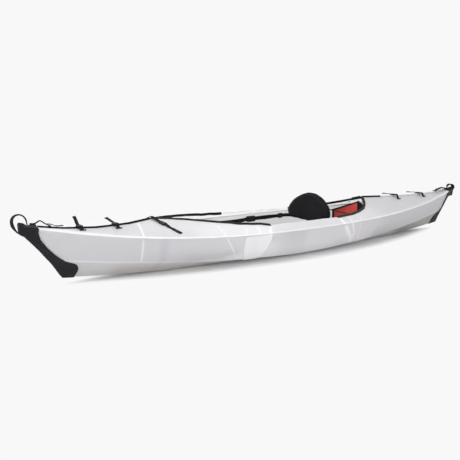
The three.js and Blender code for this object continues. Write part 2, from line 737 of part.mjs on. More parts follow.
// Frame that webbing runs through: a sleeve with two windows
const sleeveWindowShares = [[0.14, 0.42], [0.58, 0.86]];
function sleeve(length, width, thickness, slotWidth, slotThickness) {
  let solid = box([0, -width / 2, -thickness / 2], [length, width / 2, thickness / 2]);
  const slotHalf = slotWidth / 2 + 2 * pieceGap;
  const clear = slotThickness / 2 + 2 * pieceGap;
  solid = solid.subtract(box([-length, -slotHalf, -clear], [2 * length, slotHalf, clear]));
  sleeveWindowShares.forEach(([from, to]) => {
    solid = solid.subtract(box([from * length, -slotHalf, 0], [to * length, slotHalf, thickness]));
  });
  return solid;
}

// Setbacks of a cap strap's anchor, middle and tail, between its buckle and the next deck strap
function capStrapEnds(nextStrap, shares) {
  const room = nextStrap - buckleWidth / 2 - capBuckleEnd;
  return shares.map((share) => capBuckleEnd + share * room);
}

// Strap that pulls a cap tight over its tip, with a ladder buckle, an anchor and a loose tail
function capStrap(name, end, tip, starts, rises, setbacks, tailRises) {
  const half = webbingThickness / 2;
  const frameThickness = 3 * webbingThickness;
  const over = (setback, offset, rise) => {
    const x = end * (tip - setback);
    return [x, 0, ridgeTop(x, offset) + pieceGap + rise];
  };
  const width = [0, 1, 0];
  const band = (points) => ribbon(points, width, webbingWidth, webbingThickness);
  const sewn = over(starts[0], pieceGap + capWall, half);
  const seam = over(starts[1], channelTop, half);
  const entry = over(capBuckleSetback, channelTop, rises[0]);
  const exit = over(capBuckleEnd, channelTop, rises[1]);
  const [anchorSetback, middleSetback, tailSetback] = setbacks;
  const held = band([sewn, seam, entry, exit, over(anchorSetback, channelTop, anchorHeight / 2)]);
  const tail = band([
    exit, over((capBuckleEnd + middleSetback) / 2, channelTop, tailRises[0]),
    over(middleSetback, channelTop, tailRises[1]),
    over(tailSetback, channelTop, tailRises[2]),
  ]);
  const barX = end * (tip - anchorSetback);
  const bar = box([barX - anchorDepth / 2, -anchorLength / 2, chineMidHeight],
    [barX + anchorDepth / 2, anchorLength / 2, kayakBeam]);
  const anchor = skin(channelTop + pieceGap, channelTop + anchorHeight).intersect(bar);
  addPiece(`${name}_cap_strap`, mainBody(held.add(tail).add(anchor)), blackWebbing);

  const slope = new THREE.Vector3(exit[0] - entry[0], 0, exit[2] - entry[2]);
  const length = slope.length() - 2 * webbingThickness;
  const frame = sleeve(length, buckleWidth, frameThickness, webbingWidth, webbingThickness);
  const start = new THREE.Vector3(...entry).addScaledVector(slope.normalize(), webbingThickness);
  addPiece(`${name}_cap_buckle`, place(frame, start.toArray(), slope.toArray(), width), blackPlastic);
}

// Webbing handle: a loop whose two round roots lie on one swing axis
const handleSteps = 12;
const handleTaperShare = 0.24;
const handleFallShare = 0.62;
function handle(name, end, setback, drop, rise, reach) {
  const topX = end * (halfSheet - setback);
  const clear = handleRootRadius + handleRootGap;
  const top = new THREE.Vector3(topX, 0, ridgeTop(topX, pieceGap + capWall, handleRootRadius) + clear);
  const stem = halfSheet + pieceGap + capWall;
  const ahead = (handleRootRadius + handleThickness) / 2 + handleRootGap;
  const front = new THREE.Vector3(end * (stem + ahead), 0, deckHeight(end * halfSheet, 0) - drop);
  const curve = new THREE.CubicBezierCurve3(
    top,
    new THREE.Vector3(top.x + end * handleRootRadius, 0, top.z + rise),
    new THREE.Vector3(front.x + end * reach, 0, top.z + rise * handleFallShare),
    front,
  );
  const points = curve.getPoints(handleSteps).map((point) => point.toArray());
  const width = (share) => {
    const taper = Math.min(Math.min(share, 1 - share) / handleTaperShare, 1);
    return 2 * handleRootRadius + (handleWidth - 2 * handleRootRadius) * taper;
  };
  const across = (share) => {
    const turn = THREE.MathUtils.degToRad(handleTwist[0] + (handleTwist[1] - handleTwist[0]) * share);
    return [Math.sin(turn), Math.cos(turn), 0];
  };
  let loop = ribbon(points, across, width, handleThickness);
  const axis = front.clone().sub(top).normalize().multiplyScalar(handleThickness / 2);
  [top, front].forEach((root) => {
    const from = root.clone().sub(axis).toArray();
    const to = root.clone().add(axis).toArray();
    loop = loop.add(rod(from, to, handleRootRadius, handleSteps));
  });
  addPiece(`${name}_handle`, mainBody(loop), blackWebbing);
}

// Inside of the hull above the floorboard
const floorTop = sheetWall + pieceGap + floorboardThickness;
function aboveFloorboard() {
  return hullForm(-floorTop - pieceGap);
}

// Floorboard that follows the bottom of the hull
function floorboard() {
  const [rear, front] = floorboardLength;
  const half = floorboardHalfWidth;
  const outline = [
    [rear, -half + floorboardTaper], [rear + floorboardTaper, -half], [front - 2 * floorboardTaper, -half],
    [front, -half + floorboardTaper], [front, half - floorboardTaper], [front - 2 * floorboardTaper, half],
    [rear + floorboardTaper, half], [rear, half - floorboardTaper],
  ];
  const plate = skin(-floorTop, -sheetWall - pieceGap).intersect(prism(outline, -overrun, half / 2));
  addPiece('floorboard', mainBody(plate), whiteSheet);
}

// Rounded rectangle in plan
const cornerSteps = 5;
function roundedLoop(halfX, halfY, radius, centreX) {
  const loop = [];
  [[1, -1], [1, 1], [-1, 1], [-1, -1]].forEach(([sideX, sideY], corner) => {
    for (let step = 0; step <= cornerSteps; step += 1) {
      const angle = ((corner - 1) * Math.PI) / 2 + ((Math.PI / 2) * step) / cornerSteps;
      const x = centreX + sideX * (halfX - radius) + radius * Math.cos(angle);
      const y = sideY * (halfY - radius) + radius * Math.sin(angle);
      loop.push([x, y]);
    }
  });
  return loop;
}

// Hinge of the backrest's stem at the seat's rear lip
const hingeX = seatRear - pieceGap;
const hingeHeight = seatHeight + 2 * seatCrown;

// Seat cushion with a crowned top and drawn-in sides, and the lip that carries the backrest hinge
const seatLevelShares = [[0, 0], [0.3, 0], [0.62, 0.03], [0.86, 0.07], [1, 0.16]];
const crownLevelShares = [[1.09, 0.45], [1.12, 0.75]];
function seatPad() {
  const centre = (seatFront + seatRear) / 2;
  const halfX = (seatFront - seatRear) / 2;
  const rings = [...seatLevelShares, ...crownLevelShares].map(([level, draw]) => {
    const inset = draw * seatHalfWidth;
    const radius = Math.max((halfX - inset) * seatCornerShare, seatCrown);
    const loop = roundedLoop(halfX - inset, seatHalfWidth - inset, radius, centre);
    return loop.map(([x, y]) => [x, y, level * seatHeight]);
  });
  const lipTop = hingeHeight - hingeRadius - pieceGap;
  const lipFront = hingeX + 2 * hingeLipDepth;
  const lip = box([hingeX - hingeLipDepth, -hingeHalfWidth, floorTop], [lipFront, hingeHalfWidth, lipTop]);
  addPiece('seat_pad', mainBody(loft(rings).add(lip).intersect(aboveFloorboard())), paddedFabric);
}

// Backrest cushion: flat at the bottom, round over the top, thicker in its middle
const backrestShares = [
  [-0.8, 0], [-0.93, 0.03], [-0.99, 0.12], [-1, 0.25], [-0.96, 0.45], [-0.86, 0.65], [-0.7, 0.82], [-0.48, 0.94],
  [-0.24, 0.99], [0, 1],
];
const backrestDepthShares = [[-1, 0.13], [-0.86, 0.05], [-0.4, 0.01], [0, 0], [0.4, 0.01], [0.86, 0.05], [1, 0.13]];
function backrest() {
  const left = backrestShares.map(([v, w]) => [v * backrestHalfWidth, w * backrestHeight]);
  const outline = [...left, ...left.slice(0, -1).map(([v, w]) => [-v, w]).reverse()].reverse();
  const middle = backrestHeight * backrestMiddleShare;
  const half = backrestThickness / 2;
  const rings = backrestDepthShares.map(([depth, draw]) => {
    const loop = offsetLoop(outline, -draw * backrestHalfWidth);
    return loop.map(([v, w]) => [v, w, depth * half]);
  });
  const crown = (sign) => outline.map(([v, w]) => [
    v * crownShare, middle + (w - middle) * crownShare, sign * (half + backrestCrown),
  ]);
  const pad = loft([crown(-1), ...rings, crown(1)]);
  const lean = THREE.MathUtils.degToRad(backrestLean);
  const up = [-Math.sin(lean), 0, Math.cos(lean)];
  const origin = [backrestBottom[0], 0, backrestBottom[1]];
  addPiece('backrest_pad', place(pad, origin, [0, 1, 0], up), paddedFabric);

  const behind = half + backrestCrown + pieceGap + backrestStemThickness / 2;
  const stemFoot = [hingeX, 0, hingeHeight];
  const stemLow = [backrestBottom[0] - behind / Math.cos(lean), 0, backrestBottom[1]];
  const stemRise = backrestHeight / 3;
  const stemHigh = [stemLow[0] - stemRise * Math.tan(lean), 0, stemLow[2] + stemRise];
  const stem = ribbon([stemFoot, stemLow, stemHigh], [0, 1, 0], 2 * hingeHalfWidth, backrestStemThickness);
  const knuckleEnds = [-hingeHalfWidth, hingeHalfWidth].map((y) => [hingeX, y, hingeHeight]);
  const knuckle = rod(...knuckleEnds, hingeRadius, handleSteps);
  addPiece('backrest_stem', stem.add(knuckle), blackPlastic);
}

// Strap from the hull side to the backrest, on one side, with its buckle and slider
function backrestStrap(side, sideName) {
  const y = side * sideStrapPlane;
  const z = sideStrapHeight;
  const name = `backrest_${sideName}`;
  const release = [-1, 0, 0];
  const width = [0, 0, side];
  const half = (buckleThickness * sideBuckleShare) / 2;
  const joint = [sideBuckleJoint, y - side * half, z];
  addPiece(`${name}_female`, place(femaleHalf(sideBuckleShare), joint, release, width), blackPlastic);
  addPiece(`${name}_clip`, place(maleHalf(sideBuckleShare), joint, release, width), blackPlastic);

  const front = sideBuckleJoint + femaleLength * sideBuckleShare + pieceGap;
  const rear = sideBuckleJoint - maleBaseLength * sideBuckleShare - 2 * pieceGap;
  const across = [0, 0, 1];
  const frontPath = [[0, 0, 0], [0.12, 0.06, -0.05], [0.37, 0.28, -0.11], [0.72, 0.62, -0.12], [1, 1, -0.11]];
  const anchorX = footStrapAnchor + sideWebbingWidth;
  const wallY = kayakBeam / 2 - sideStrapPlane;
  const frontPoints = frontPath.map(([along1, out, drop]) => [
    front + along1 * (anchorX - front), y + side * out * wallY, z + drop * sideStrapHeight,
  ]);
  const frontBand = ribbon(frontPoints, across, sideWebbingWidth, webbingThickness);
  addPiece(`${name}_strap_front`, mainBody(frontBand.intersect(hollow(pieceGap))), blackWebbing);

  const lean = THREE.MathUtils.degToRad(backrestLean);
  const behind = (backrestThickness + webbingThickness) / 2 / Math.cos(lean);
  const rise = z - backrestBottom[1] + sideWebbingWidth / 2;
  const padBack = backrestBottom[0] - behind - rise * Math.tan(lean) - pieceGap;
  const bend = sideStrapPlane - backrestHalfWidth;
  const rearPoints = [
    [rear, y, z], [padBack + bend, y, z], [padBack, y - side * bend / 2, z], [padBack, y - side * 3 * bend, z],
  ];
  addPiece(`${name}_strap_rear`, ribbon(rearPoints, across, sideWebbingWidth, webbingThickness), blackWebbing);

  const frame = sleeve(sliderLength, sliderWidth, sliderThickness, sideWebbingWidth, webbingThickness);
  const start = [sliderPlace + sliderLength / 2, y, z];
  addPiece(`${name}_slider`, place(frame, start, release, width), blackPlastic);
}

// Bulkhead: two halves that meet at a slight fold, and the black binding round them
function bulkhead() {
  const angle = THREE.MathUtils.degToRad(bulkheadFoldAngle);
  const half = (side, outline, thickness) => {
    const shape = new THREE.Shape(outline.map(([v, z]) => new THREE.Vector2(v, z)));
    const geometry = new THREE.ExtrudeGeometry(shape, { depth: thickness, bevelEnabled: false });
    geometry.translate(0, 0, -thickness / 2);
    geometry.rotateX(Math.PI / 2);
    geometry.rotateZ(Math.PI / 2);
    geometry.scale(1, side, 1);
    geometry.rotateZ(-side * angle);
    geometry.translate(bulkheadX, 0, 0);
    return solidFrom(geometry);
  };
  const outline = (grow) => [
    [-grow / 2, -overrun], [bulkheadHalfWidth + grow, -overrun],
    [bulkheadHalfWidth + grow, bulkheadShoulder + grow / 2],
    [-grow / 2, bulkheadTop + grow],
  ];
  const both = (make) => make(1).add(make(-1));
  const inner = outline(-bindingWidth).map(([v, z]) => [Math.max(v, bindingWidth / 2), Math.max(z, 0)]);
  const board = both((side) => half(side, [
    [-sheetWall, -overrun], ...outline(0).slice(1, 3), [-sheetWall, bulkheadTop]],
    bulkheadThickness)).intersect(hollow(2 * pieceGap + bindingWall));
  const around = bindingWall + pieceGap;
  const envelope = both((side) => half(side, [[-sheetWall, -overrun], ...outline(2 * pieceGap).slice(1, 3),
    [-sheetWall, bulkheadTop + pieceGap]], bulkheadThickness + 2 * pieceGap)).intersect(hollow(pieceGap + bindingWall));
  const outer = both((side) => half(side, [[-sheetWall, -overrun], ...outline(2 * around).slice(1, 3),
    [-sheetWall, bulkheadTop + around]], bulkheadThickness + 2 * around)).intersect(hollow(pieceGap));
  const windows = both((side) => half(side, inner, overrun)).intersect(hollow(pieceGap + bindingWidth));
  addPiece('bulkhead_panel', mainBody(board), redFabric);
  addPiece('bulkhead_binding', mainBody(outer.subtract(windows).subtract(envelope)), blackWebbing);
}

// Elastic cord from the bulkhead round the back of the backrest
const bungeeSides = 8;
const bungeeBendShare = 8;
const bungeeReach = 110;
const bungeeHeight = 190;
function bungee() {
  const lean = THREE.MathUtils.degToRad(backrestLean);
  const behind = (backrestThickness / 2 + backrestCrown + bungeeRadius + pieceGap) / Math.cos(lean);
  const back = new THREE.Vector3(backrestBottom[0] - behind - (backrestHeight / 2) * Math.tan(lean), 0,
    backrestBottom[1] + backrestHeight / 2);
  const angle = THREE.MathUtils.degToRad(bulkheadFoldAngle);
  const ahead = (bulkheadThickness / 2 + bungeeRadius / 4 + pieceGap) / Math.cos(angle);
  const hook = new THREE.Vector3(bulkheadX + bungeeReach * Math.tan(angle) + ahead, bungeeReach, bungeeHeight);
  const bend = bungeeRadius * bungeeBendShare;
  const corner = back.clone().setX(back.x + bend / 2);
  const start = corner.clone().lerp(hook, bend / (corner.x - hook.x));
  const mirror = (point) => new THREE.Vector3(point.x, -point.y, point.z);
  const turn = new THREE.QuadraticBezierCurve3(start, corner, mirror(start));
  const points = [hook, ...turn.getPoints(bungeeSides), mirror(hook)];
  const rings = points.map((point, index) => {
    const before = points[Math.max(index - 1, 0)];
    const after = points[Math.min(index + 1, points.length - 1)];
    const tangent = after.clone().sub(before).normalize();
    const sideways = new THREE.Vector3().crossVectors(tangent, new THREE.Vector3(0, 0, 1)).normalize();
    const upward = new THREE.Vector3().crossVectors(sideways, tangent).normalize();
    return Array.from({ length: bungeeSides }, (unused, step) => {
      const around = (2 * Math.PI * step) / bungeeSides;
      const ringPoint = point.clone().addScaledVector(sideways, Math.cos(around) * bungeeRadius);
      return ringPoint.addScaledVector(upward, Math.sin(around) * bungeeRadius).toArray();
    });
  });
  addPiece('backrest_bungee', loft(rings), blackWebbing);
}

// Foot brace: a leaning plate on a base, with two ribs, held by a strap on each side
function footBrace() {
  const rear = bracePlace - braceBaseLength;
  const plateOutline = [[bracePlace, 0], [bracePlace + braceTilt, braceHeight],
    [bracePlace + braceTilt - braceWall, braceHeight], [bracePlace - braceWall, 0]];
  const ribOutline = [
    [rear, 0], [bracePlace, 0], [bracePlace, braceHeight / 2], [bracePlace - braceWall, braceHeight / 2],
    [rear, 2 * braceWall]];
  const plateRoom = box([0, -braceHalfWidth, -overrun], [halfSheet, braceHalfWidth, kayakBeam]);
  const plate = sideCut(plateOutline).intersect(plateRoom);
  const base = box([rear, -braceBaseHalfWidth, 0], [bracePlace, braceBaseHalfWidth, floorTop + braceWall]);
  let brace = plate.add(base);
  [-1, 1].forEach((side) => {
    const outer = side * braceBaseHalfWidth;
    const inner = outer - side * braceWall;
    const slab = box([0, Math.min(outer, inner), 0], [halfSheet, Math.max(outer, inner), kayakBeam]);
    brace = brace.add(sideCut(ribOutline).intersect(slab));
  });
  addPiece('foot_brace', mainBody(brace.intersect(aboveFloorboard())), blackPlastic);

  [[1, 'port'], [-1, 'starboard']].forEach(([side, sideName]) => {
    const plateX = bracePlace + braceTilt * (footStrapHeight / braceHeight) - braceWall / 2;
    const start = [plateX, side * (braceHalfWidth + webbingThickness / 2 + 2 * pieceGap), footStrapHeight];
    const end = [footStrapAnchor, side * (sideStrapPlane + sideWebbingWidth), footStrapHeight];
    const band = ribbon([start, end], [0, 0, 1], sideWebbingWidth, webbingThickness);
    addPiece(`foot_strap_${sideName}`, mainBody(band.intersect(hollow(pieceGap))), blackWebbing);
  });
}

// Snap buttons under the rear deck, and the clip on the rear trim near its apex
const clipShares = [[-0.995, -0.215], [-0.945, -0.03]];
function smallFittings() {
  const under = skin(-sheetWall - pieceGap - buttonHeight, -sheetWall - pieceGap);
  [[1, 'port'], [-1, 'starboard']].forEach(([side, sideName]) => {
    const x = -cockpitRear - buttonSetback;
    const drillEnds = [chineMidHeight, kayakBeam].map((z) => [x, side * buttonReach, z]);
    const drill = rod(...drillEnds, buttonRadius, handleSteps);
    addPiece(`deck_button_${sideName}`, mainBody(under.intersect(drill)), blackPlastic);
  });
  const top = skin(trimRise + 2 * pieceGap, trimRise + 2 * pieceGap + clipHeight);
  const band = cockpitPrism(trimOverlap).subtract(cockpitPrism(-trimWall));
  const [[x0, y0], [x1, y1]] = clipShares;
  const spot = box([x0 * cockpitRear, y0 * cockpitHalfWidth, chineMidHeight],
    [x1 * cockpitRear, y1 * cockpitHalfWidth, kayakBeam]);
  addPiece('coaming_clip', mainBody(top.intersect(band).intersect(spot)), blackPlastic);
}

sheetPieces();
coamingTrims();
seamChannels();
tipCaps();
deckStraps();
const bowStrapEnds = capStrapEnds(foredeck * (1 - frontStrapShares[0]), bowStrapEndShares);
const sternStrapEnds = capStrapEnds(afterdeck * (1 - rearStrapShares[1]), sternStrapEndShares);
capStrap('bow', 1, halfSheet, bowStrapStarts, bowStrapRises, bowStrapEnds, bowTailRises);
capStrap('stern', -1, halfSheet, sternStrapStarts, sternStrapRises, sternStrapEnds, sternTailRises);
handle('bow', 1, bowHandleSetback, bowHandleDrop, bowHandleRise, bowHandleReach);
handle('stern', -1, sternHandleSetback, sternHandleDrop, sternHandleRise, sternHandleReach);
floorboard();
seatPad();
backrest();
backrestStrap(1, 'port');
backrestStrap(-1, 'starboard');
bulkhead();
bungee();
footBrace();
smallFittings();

export default kayak;
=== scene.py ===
import json
import math

import bmesh
import bpy
from mathutils import Matrix, Vector, noise
from mathutils.bvhtree import BVHTree
from mathutils.kdtree import KDTree

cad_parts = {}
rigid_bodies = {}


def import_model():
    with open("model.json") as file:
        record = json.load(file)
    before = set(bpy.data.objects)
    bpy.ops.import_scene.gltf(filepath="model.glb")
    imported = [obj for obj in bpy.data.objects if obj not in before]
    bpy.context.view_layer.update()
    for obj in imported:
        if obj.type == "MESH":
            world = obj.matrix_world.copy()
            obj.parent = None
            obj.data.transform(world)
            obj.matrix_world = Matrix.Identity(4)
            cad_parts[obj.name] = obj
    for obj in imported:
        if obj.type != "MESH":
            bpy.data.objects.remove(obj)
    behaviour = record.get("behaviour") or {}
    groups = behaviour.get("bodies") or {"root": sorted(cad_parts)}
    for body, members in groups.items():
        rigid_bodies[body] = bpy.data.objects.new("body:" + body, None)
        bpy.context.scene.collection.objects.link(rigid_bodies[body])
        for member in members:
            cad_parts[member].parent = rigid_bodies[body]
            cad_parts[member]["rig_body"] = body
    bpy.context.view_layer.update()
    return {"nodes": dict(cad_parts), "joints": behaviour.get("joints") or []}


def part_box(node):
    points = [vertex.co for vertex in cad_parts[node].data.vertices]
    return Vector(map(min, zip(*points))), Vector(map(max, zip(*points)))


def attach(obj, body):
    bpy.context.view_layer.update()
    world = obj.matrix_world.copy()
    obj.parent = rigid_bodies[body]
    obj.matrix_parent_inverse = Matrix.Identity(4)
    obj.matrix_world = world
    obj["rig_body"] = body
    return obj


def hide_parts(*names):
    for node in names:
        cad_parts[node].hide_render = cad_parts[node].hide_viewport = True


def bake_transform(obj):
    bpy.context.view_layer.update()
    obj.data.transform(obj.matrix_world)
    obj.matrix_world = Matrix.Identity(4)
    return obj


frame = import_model()
nodes = frame["nodes"]
scene = bpy.context.scene

# Camera at the photograph's place
camera_place = Vector((2.639, 3.281, 0.930))
camera_yaw = -2.154
camera_pitch = -0.185
camera_roll = -0.003
focal_pixels = 600
image_pixels = 460
sensor_width = 36

forward = Vector((
    math.cos(camera_pitch) * math.cos(camera_yaw),
    math.cos(camera_pitch) * math.sin(camera_yaw),
    math.sin(camera_pitch),
))
right = forward.cross(Vector((0, 0, 1))).normalized()
upward = right.cross(forward)
turned_right = right * math.cos(camera_roll) + upward * math.sin(camera_roll)
turned_up = upward * math.cos(camera_roll) - right * math.sin(camera_roll)
camera_data = bpy.data.cameras.new("camera")
camera_data.sensor_width = sensor_width
camera_data.lens = focal_pixels * sensor_width / image_pixels
camera_data.clip_end = 60
camera = bpy.data.objects.new("camera", camera_data)
scene.collection.objects.link(camera)
pose = Matrix((turned_right, turned_up, -forward)).transposed().to_4x4()
pose.translation = camera_place
camera.matrix_world = pose
scene.camera = camera
scene.view_settings.view_transform = "Standard"


# Node helpers
def add_node(tree, kind, values=None, **settings):
    made = tree.nodes.new(kind)
    for key, value in settings.items():
        setattr(made, key, value)
    for key, value in (values or {}).items():
        if isinstance(value, bpy.types.NodeSocket):
            tree.links.new(value, made.inputs[key])
        else:
            made.inputs[key].default_value = value
    return made


def maths(tree, operation, first, second=0.0, third=0.0, clamp=False):
    values = {0: first, 1: second, 2: third}
    made = add_node(tree, "ShaderNodeMath", values, operation=operation, use_clamp=clamp)
    return made.outputs[0]


def ramp_down(tree, value, start, end):
    """1 where value is at or under start, falling smoothly to 0 at end."""
    values = {"Value": value, "From Min": start, "From Max": end, "To Min": 1.0, "To Max": 0.0}
    made = add_node(tree, "ShaderNodeMapRange", values, interpolation_type="SMOOTHSTEP")
    return made.outputs[0]


def mix_colour(tree, share, first, second):
    return add_node(tree, "ShaderNodeMix", {0: share, 6: first, 7: second}, data_type="RGBA").outputs[2]


def vector_maths(tree, operation, first, second, output=0):
    values = {0: first, 1: second}
    return add_node(tree, "ShaderNodeVectorMath", values, operation=operation).outputs[output]


def new_material(name, colour, roughness, **plain):
    made = bpy.data.materials.new(name)
    made.use_nodes = True
    tree = made.node_tree
    shader = tree.nodes["Principled BSDF"]
    shader.inputs["Base Color"].default_value = (*colour, 1)
    shader.inputs["Roughness"].default_value = roughness
    for key, value in plain.items():
        shader.inputs[key.replace("_", " ")].default_value = value
    return made, tree, shader


def linear(red, green, blue):
    """Linear colour of an 8-bit screen colour."""
    def one(value):
        share = value / 255
        return share / 12.92 if share <= 0.04045 else ((share + 0.055) / 1.055) ** 2.4
    return (one(red), one(green), one(blue))


def place_of(tree):
    return add_node(tree, "ShaderNodeTexCoord").outputs["Object"]


def noise_of(tree, place, scale, detail=3.0, roughness=0.55):
    values = {"Vector": place, "Scale": scale, "Detail": detail, "Roughness": roughness}
    return add_node(tree, "ShaderNodeTexNoise", values).outputs["Fac"]


def bump_on(tree, shader, height, distance, strength=1.0):
    values = {"Height": height, "Distance": distance, "Strength": strength}
    made = add_node(tree, "ShaderNodeBump", values)
    tree.links.new(made.outputs[0], shader.inputs["Normal"])


def lattice(tree, place, pitch):
    """Woven relief: crests that alternate along all three axes."""
    axes = add_node(tree, "ShaderNodeSeparateXYZ", {0: place}).outputs
    waves = [maths(tree, "SINE", maths(tree, "MULTIPLY", axis, math.tau / pitch)) for axis in axes]
    both = maths(tree, "MULTIPLY", waves[0], waves[1])
    third = maths(tree, "MULTIPLY", waves[2], maths(tree, "ADD", waves[0], waves[1]))
    return maths(tree, "MULTIPLY_ADD", maths(tree, "ADD", both, third), 0.35, 0.5)


# White twin-wall sheet: fine flutes along the hull, folds that have turned whiter, and bands of painted shade
# and painted light
half_sheet = 1.838
chine_mid = 0.219
bow_chine = 0.362
stern_chine = 0.318
chine_power = 2.65
bilge_mid = 0.018
bow_bilge = 0.157
stern_bilge = 0.161
bilge_reach = 1.67
bilge_power = 1.58
# Fold lines: points on the port side, which the starboard side mirrors, then half width and strength
side_folds = [
    ([(-0.254, 0.342, 0.198), (-0.306, 0.306, 0.159), (-0.373, 0.259, 0.109), (-0.415, 0.223, 0.069),
      (-0.429, 0.200, 0.041)], 0.024, 1.0),
    ([(-0.310, 0.348, 0.211), (-0.358, 0.310, 0.168), (-0.399, 0.274, 0.130), (-0.428, 0.234, 0.084),
      (-0.439, 0.205, 0.048)], 0.014, 0.9),
    ([(-0.408, 0.332, 0.202), (-0.439, 0.299, 0.166), (-0.464, 0.261, 0.121),
      (-0.502, 0.212, 0.064)], 0.009, 0.5),
    ([(0.407, 0.366, 0.219), (0.400, 0.359, 0.210), (0.387, 0.332, 0.178), (0.381, 0.299, 0.140),
      (0.378, 0.259, 0.093), (0.377, 0.209, 0.044)], 0.013, 1.0),
    ([(0.707, 0.328, 0.214), (0.658, 0.291, 0.165), (0.562, 0.204, 0.054)], 0.009, 0.75),
    ([(0.574, 0.344, 0.208), (0.527, 0.278, 0.128), (0.474, 0.206, 0.042)], 0.009, 0.8),
    ([(0.477, 0.349, 0.204), (0.446, 0.309, 0.156), (0.419, 0.261, 0.098),
      (0.399, 0.212, 0.040)], 0.008, 0.7),
    ([(1.220, 0.244, 0.247), (1.208, 0.211, 0.199), (1.196, 0.154, 0.110)], 0.010, 0.85),
    ([(-0.668, 0.297, 0.201), (-0.751, 0.198, 0.088)], 0.008, 0.35),
]
deck_folds = [
    ([(-0.244, 0.298, 0.241), (-0.233, 0.339, 0.227), (-0.232, 0.360, 0.218)], 0.019, 0.95),
    ([(-0.331, 0.271, 0.248), (-0.329, 0.303, 0.238), (-0.311, 0.341, 0.225)], 0.010, 0.75),
    ([(-0.440, 0.289, 0.240), (-0.396, 0.343, 0.223)], 0.008, 0.4),
    ([(0.713, 0.225, 0.276), (0.713, 0.305, 0.245), (0.720, 0.331, 0.234)], 0.009, 0.7),
    ([(0.355, 0.285, 0.253), (0.375, 0.315, 0.241), (0.400, 0.345, 0.228),
      (0.407, 0.366, 0.219)], 0.013, 0.9),
    ([(0.545, 0.290, 0.256), (0.573, 0.340, 0.232)], 0.008, 0.6),
    ([(0.465, 0.295, 0.254), (0.470, 0.329, 0.238), (0.483, 0.358, 0.222)], 0.009, 0.7),
    ([(1.151, 0.030, 0.309), (1.175, 0.121, 0.289), (1.206, 0.221, 0.272),
      (1.215, 0.249, 0.262)], 0.010, 0.7),
    ([(-1.009, 0.083, 0.287), (-1.038, 0.219, 0.249)], 0.008, 0.35),
]
# Painted shade and painted light: bands given the same way, then their own colour. The side and lower-panel
# bands are darker, painted shade, some of it the shade of parts inside seen through the sheet; the deck band
# is lighter, painted light.
side_painted_shade_bands = [
    ([(1.097, 0.271, 0.243), (1.063, 0.173, 0.102)], 0.045, 0.5, (0.60, 0.61, 0.67)),
    ([(0.137, 0.351, 0.199), (0.083, 0.280, 0.115), (0.046, 0.207, 0.028)], 0.045, 0.35, (0.60, 0.61, 0.67)),
    ([(0.21, 0.345, 0.20), (0.17, 0.28, 0.12), (0.14, 0.21, 0.03)], 0.17, 0.9, (0.64, 0.64, 0.66)),
]
deck_painted_light_bands = [([(0.80, 0.28, 0.25), (0.44, 0.32, 0.24)], 0.14, 0.9, (0.83, 0.83, 0.85))]
low_painted_shade_bands = [
    ([(1.30, 0.075, 0.045), (0.75, 0.17, 0.03)], 0.12, 0.7, (0.66, 0.58, 0.565)),
    ([(1.089, 0.104, 0.048), (1.068, 0.157, 0.084)], 0.020, 0.5, (0.45, 0.44, 0.47)),
    ([(-1.15, 0.10, 0.05), (-1.70, 0.04, 0.12)], 0.22, 0.95, (0.36, 0.36, 0.335)),
]


def along(tree, place, points, width):
    """1 on the line through the points, falling to 0 at width from it."""
    nearest = None
    for start, end in zip(points, points[1:]):
        span = Vector(end) - Vector(start)
        share = span / span.length_squared
        apart = vector_maths(tree, "SUBTRACT", place, start)
        dot = vector_maths(tree, "DOT_PRODUCT", apart, share, "Value")
        held = maths(tree, "MULTIPLY", dot, 1.0, clamp=True)
        foot = add_node(tree, "ShaderNodeVectorMath", {0: span, "Scale": held}, operation="SCALE").outputs[0]
        distance = vector_maths(tree, "DISTANCE", apart, foot, "Value")
        nearest = distance if nearest is None else maths(tree, "MINIMUM", nearest, distance)
    return ramp_down(tree, nearest, 0.0, width)


# Creases along the hull: height amidships, at bow and at stern, then reach, power and strength
crease_width = 0.007
flute_pitch = 0.0052
flute_relief = 0.00002
fold_relief = 0.0006
buckling = 0.0015
whitened_colour = (0.97, 0.97, 0.98, 1)
creases = [(chine_mid, bow_chine, stern_chine, half_sheet, chine_power, 0.75),
           (bilge_mid, bow_bilge, stern_bilge, bilge_reach, bilge_power, 0.55)]


def crease_level(x, crease):
    mid, bow_end, stern_end, reach, power = crease[:5]
    return mid + ((bow_end if x > 0 else stern_end) - mid) * min(abs(x) / reach, 1.05) ** power


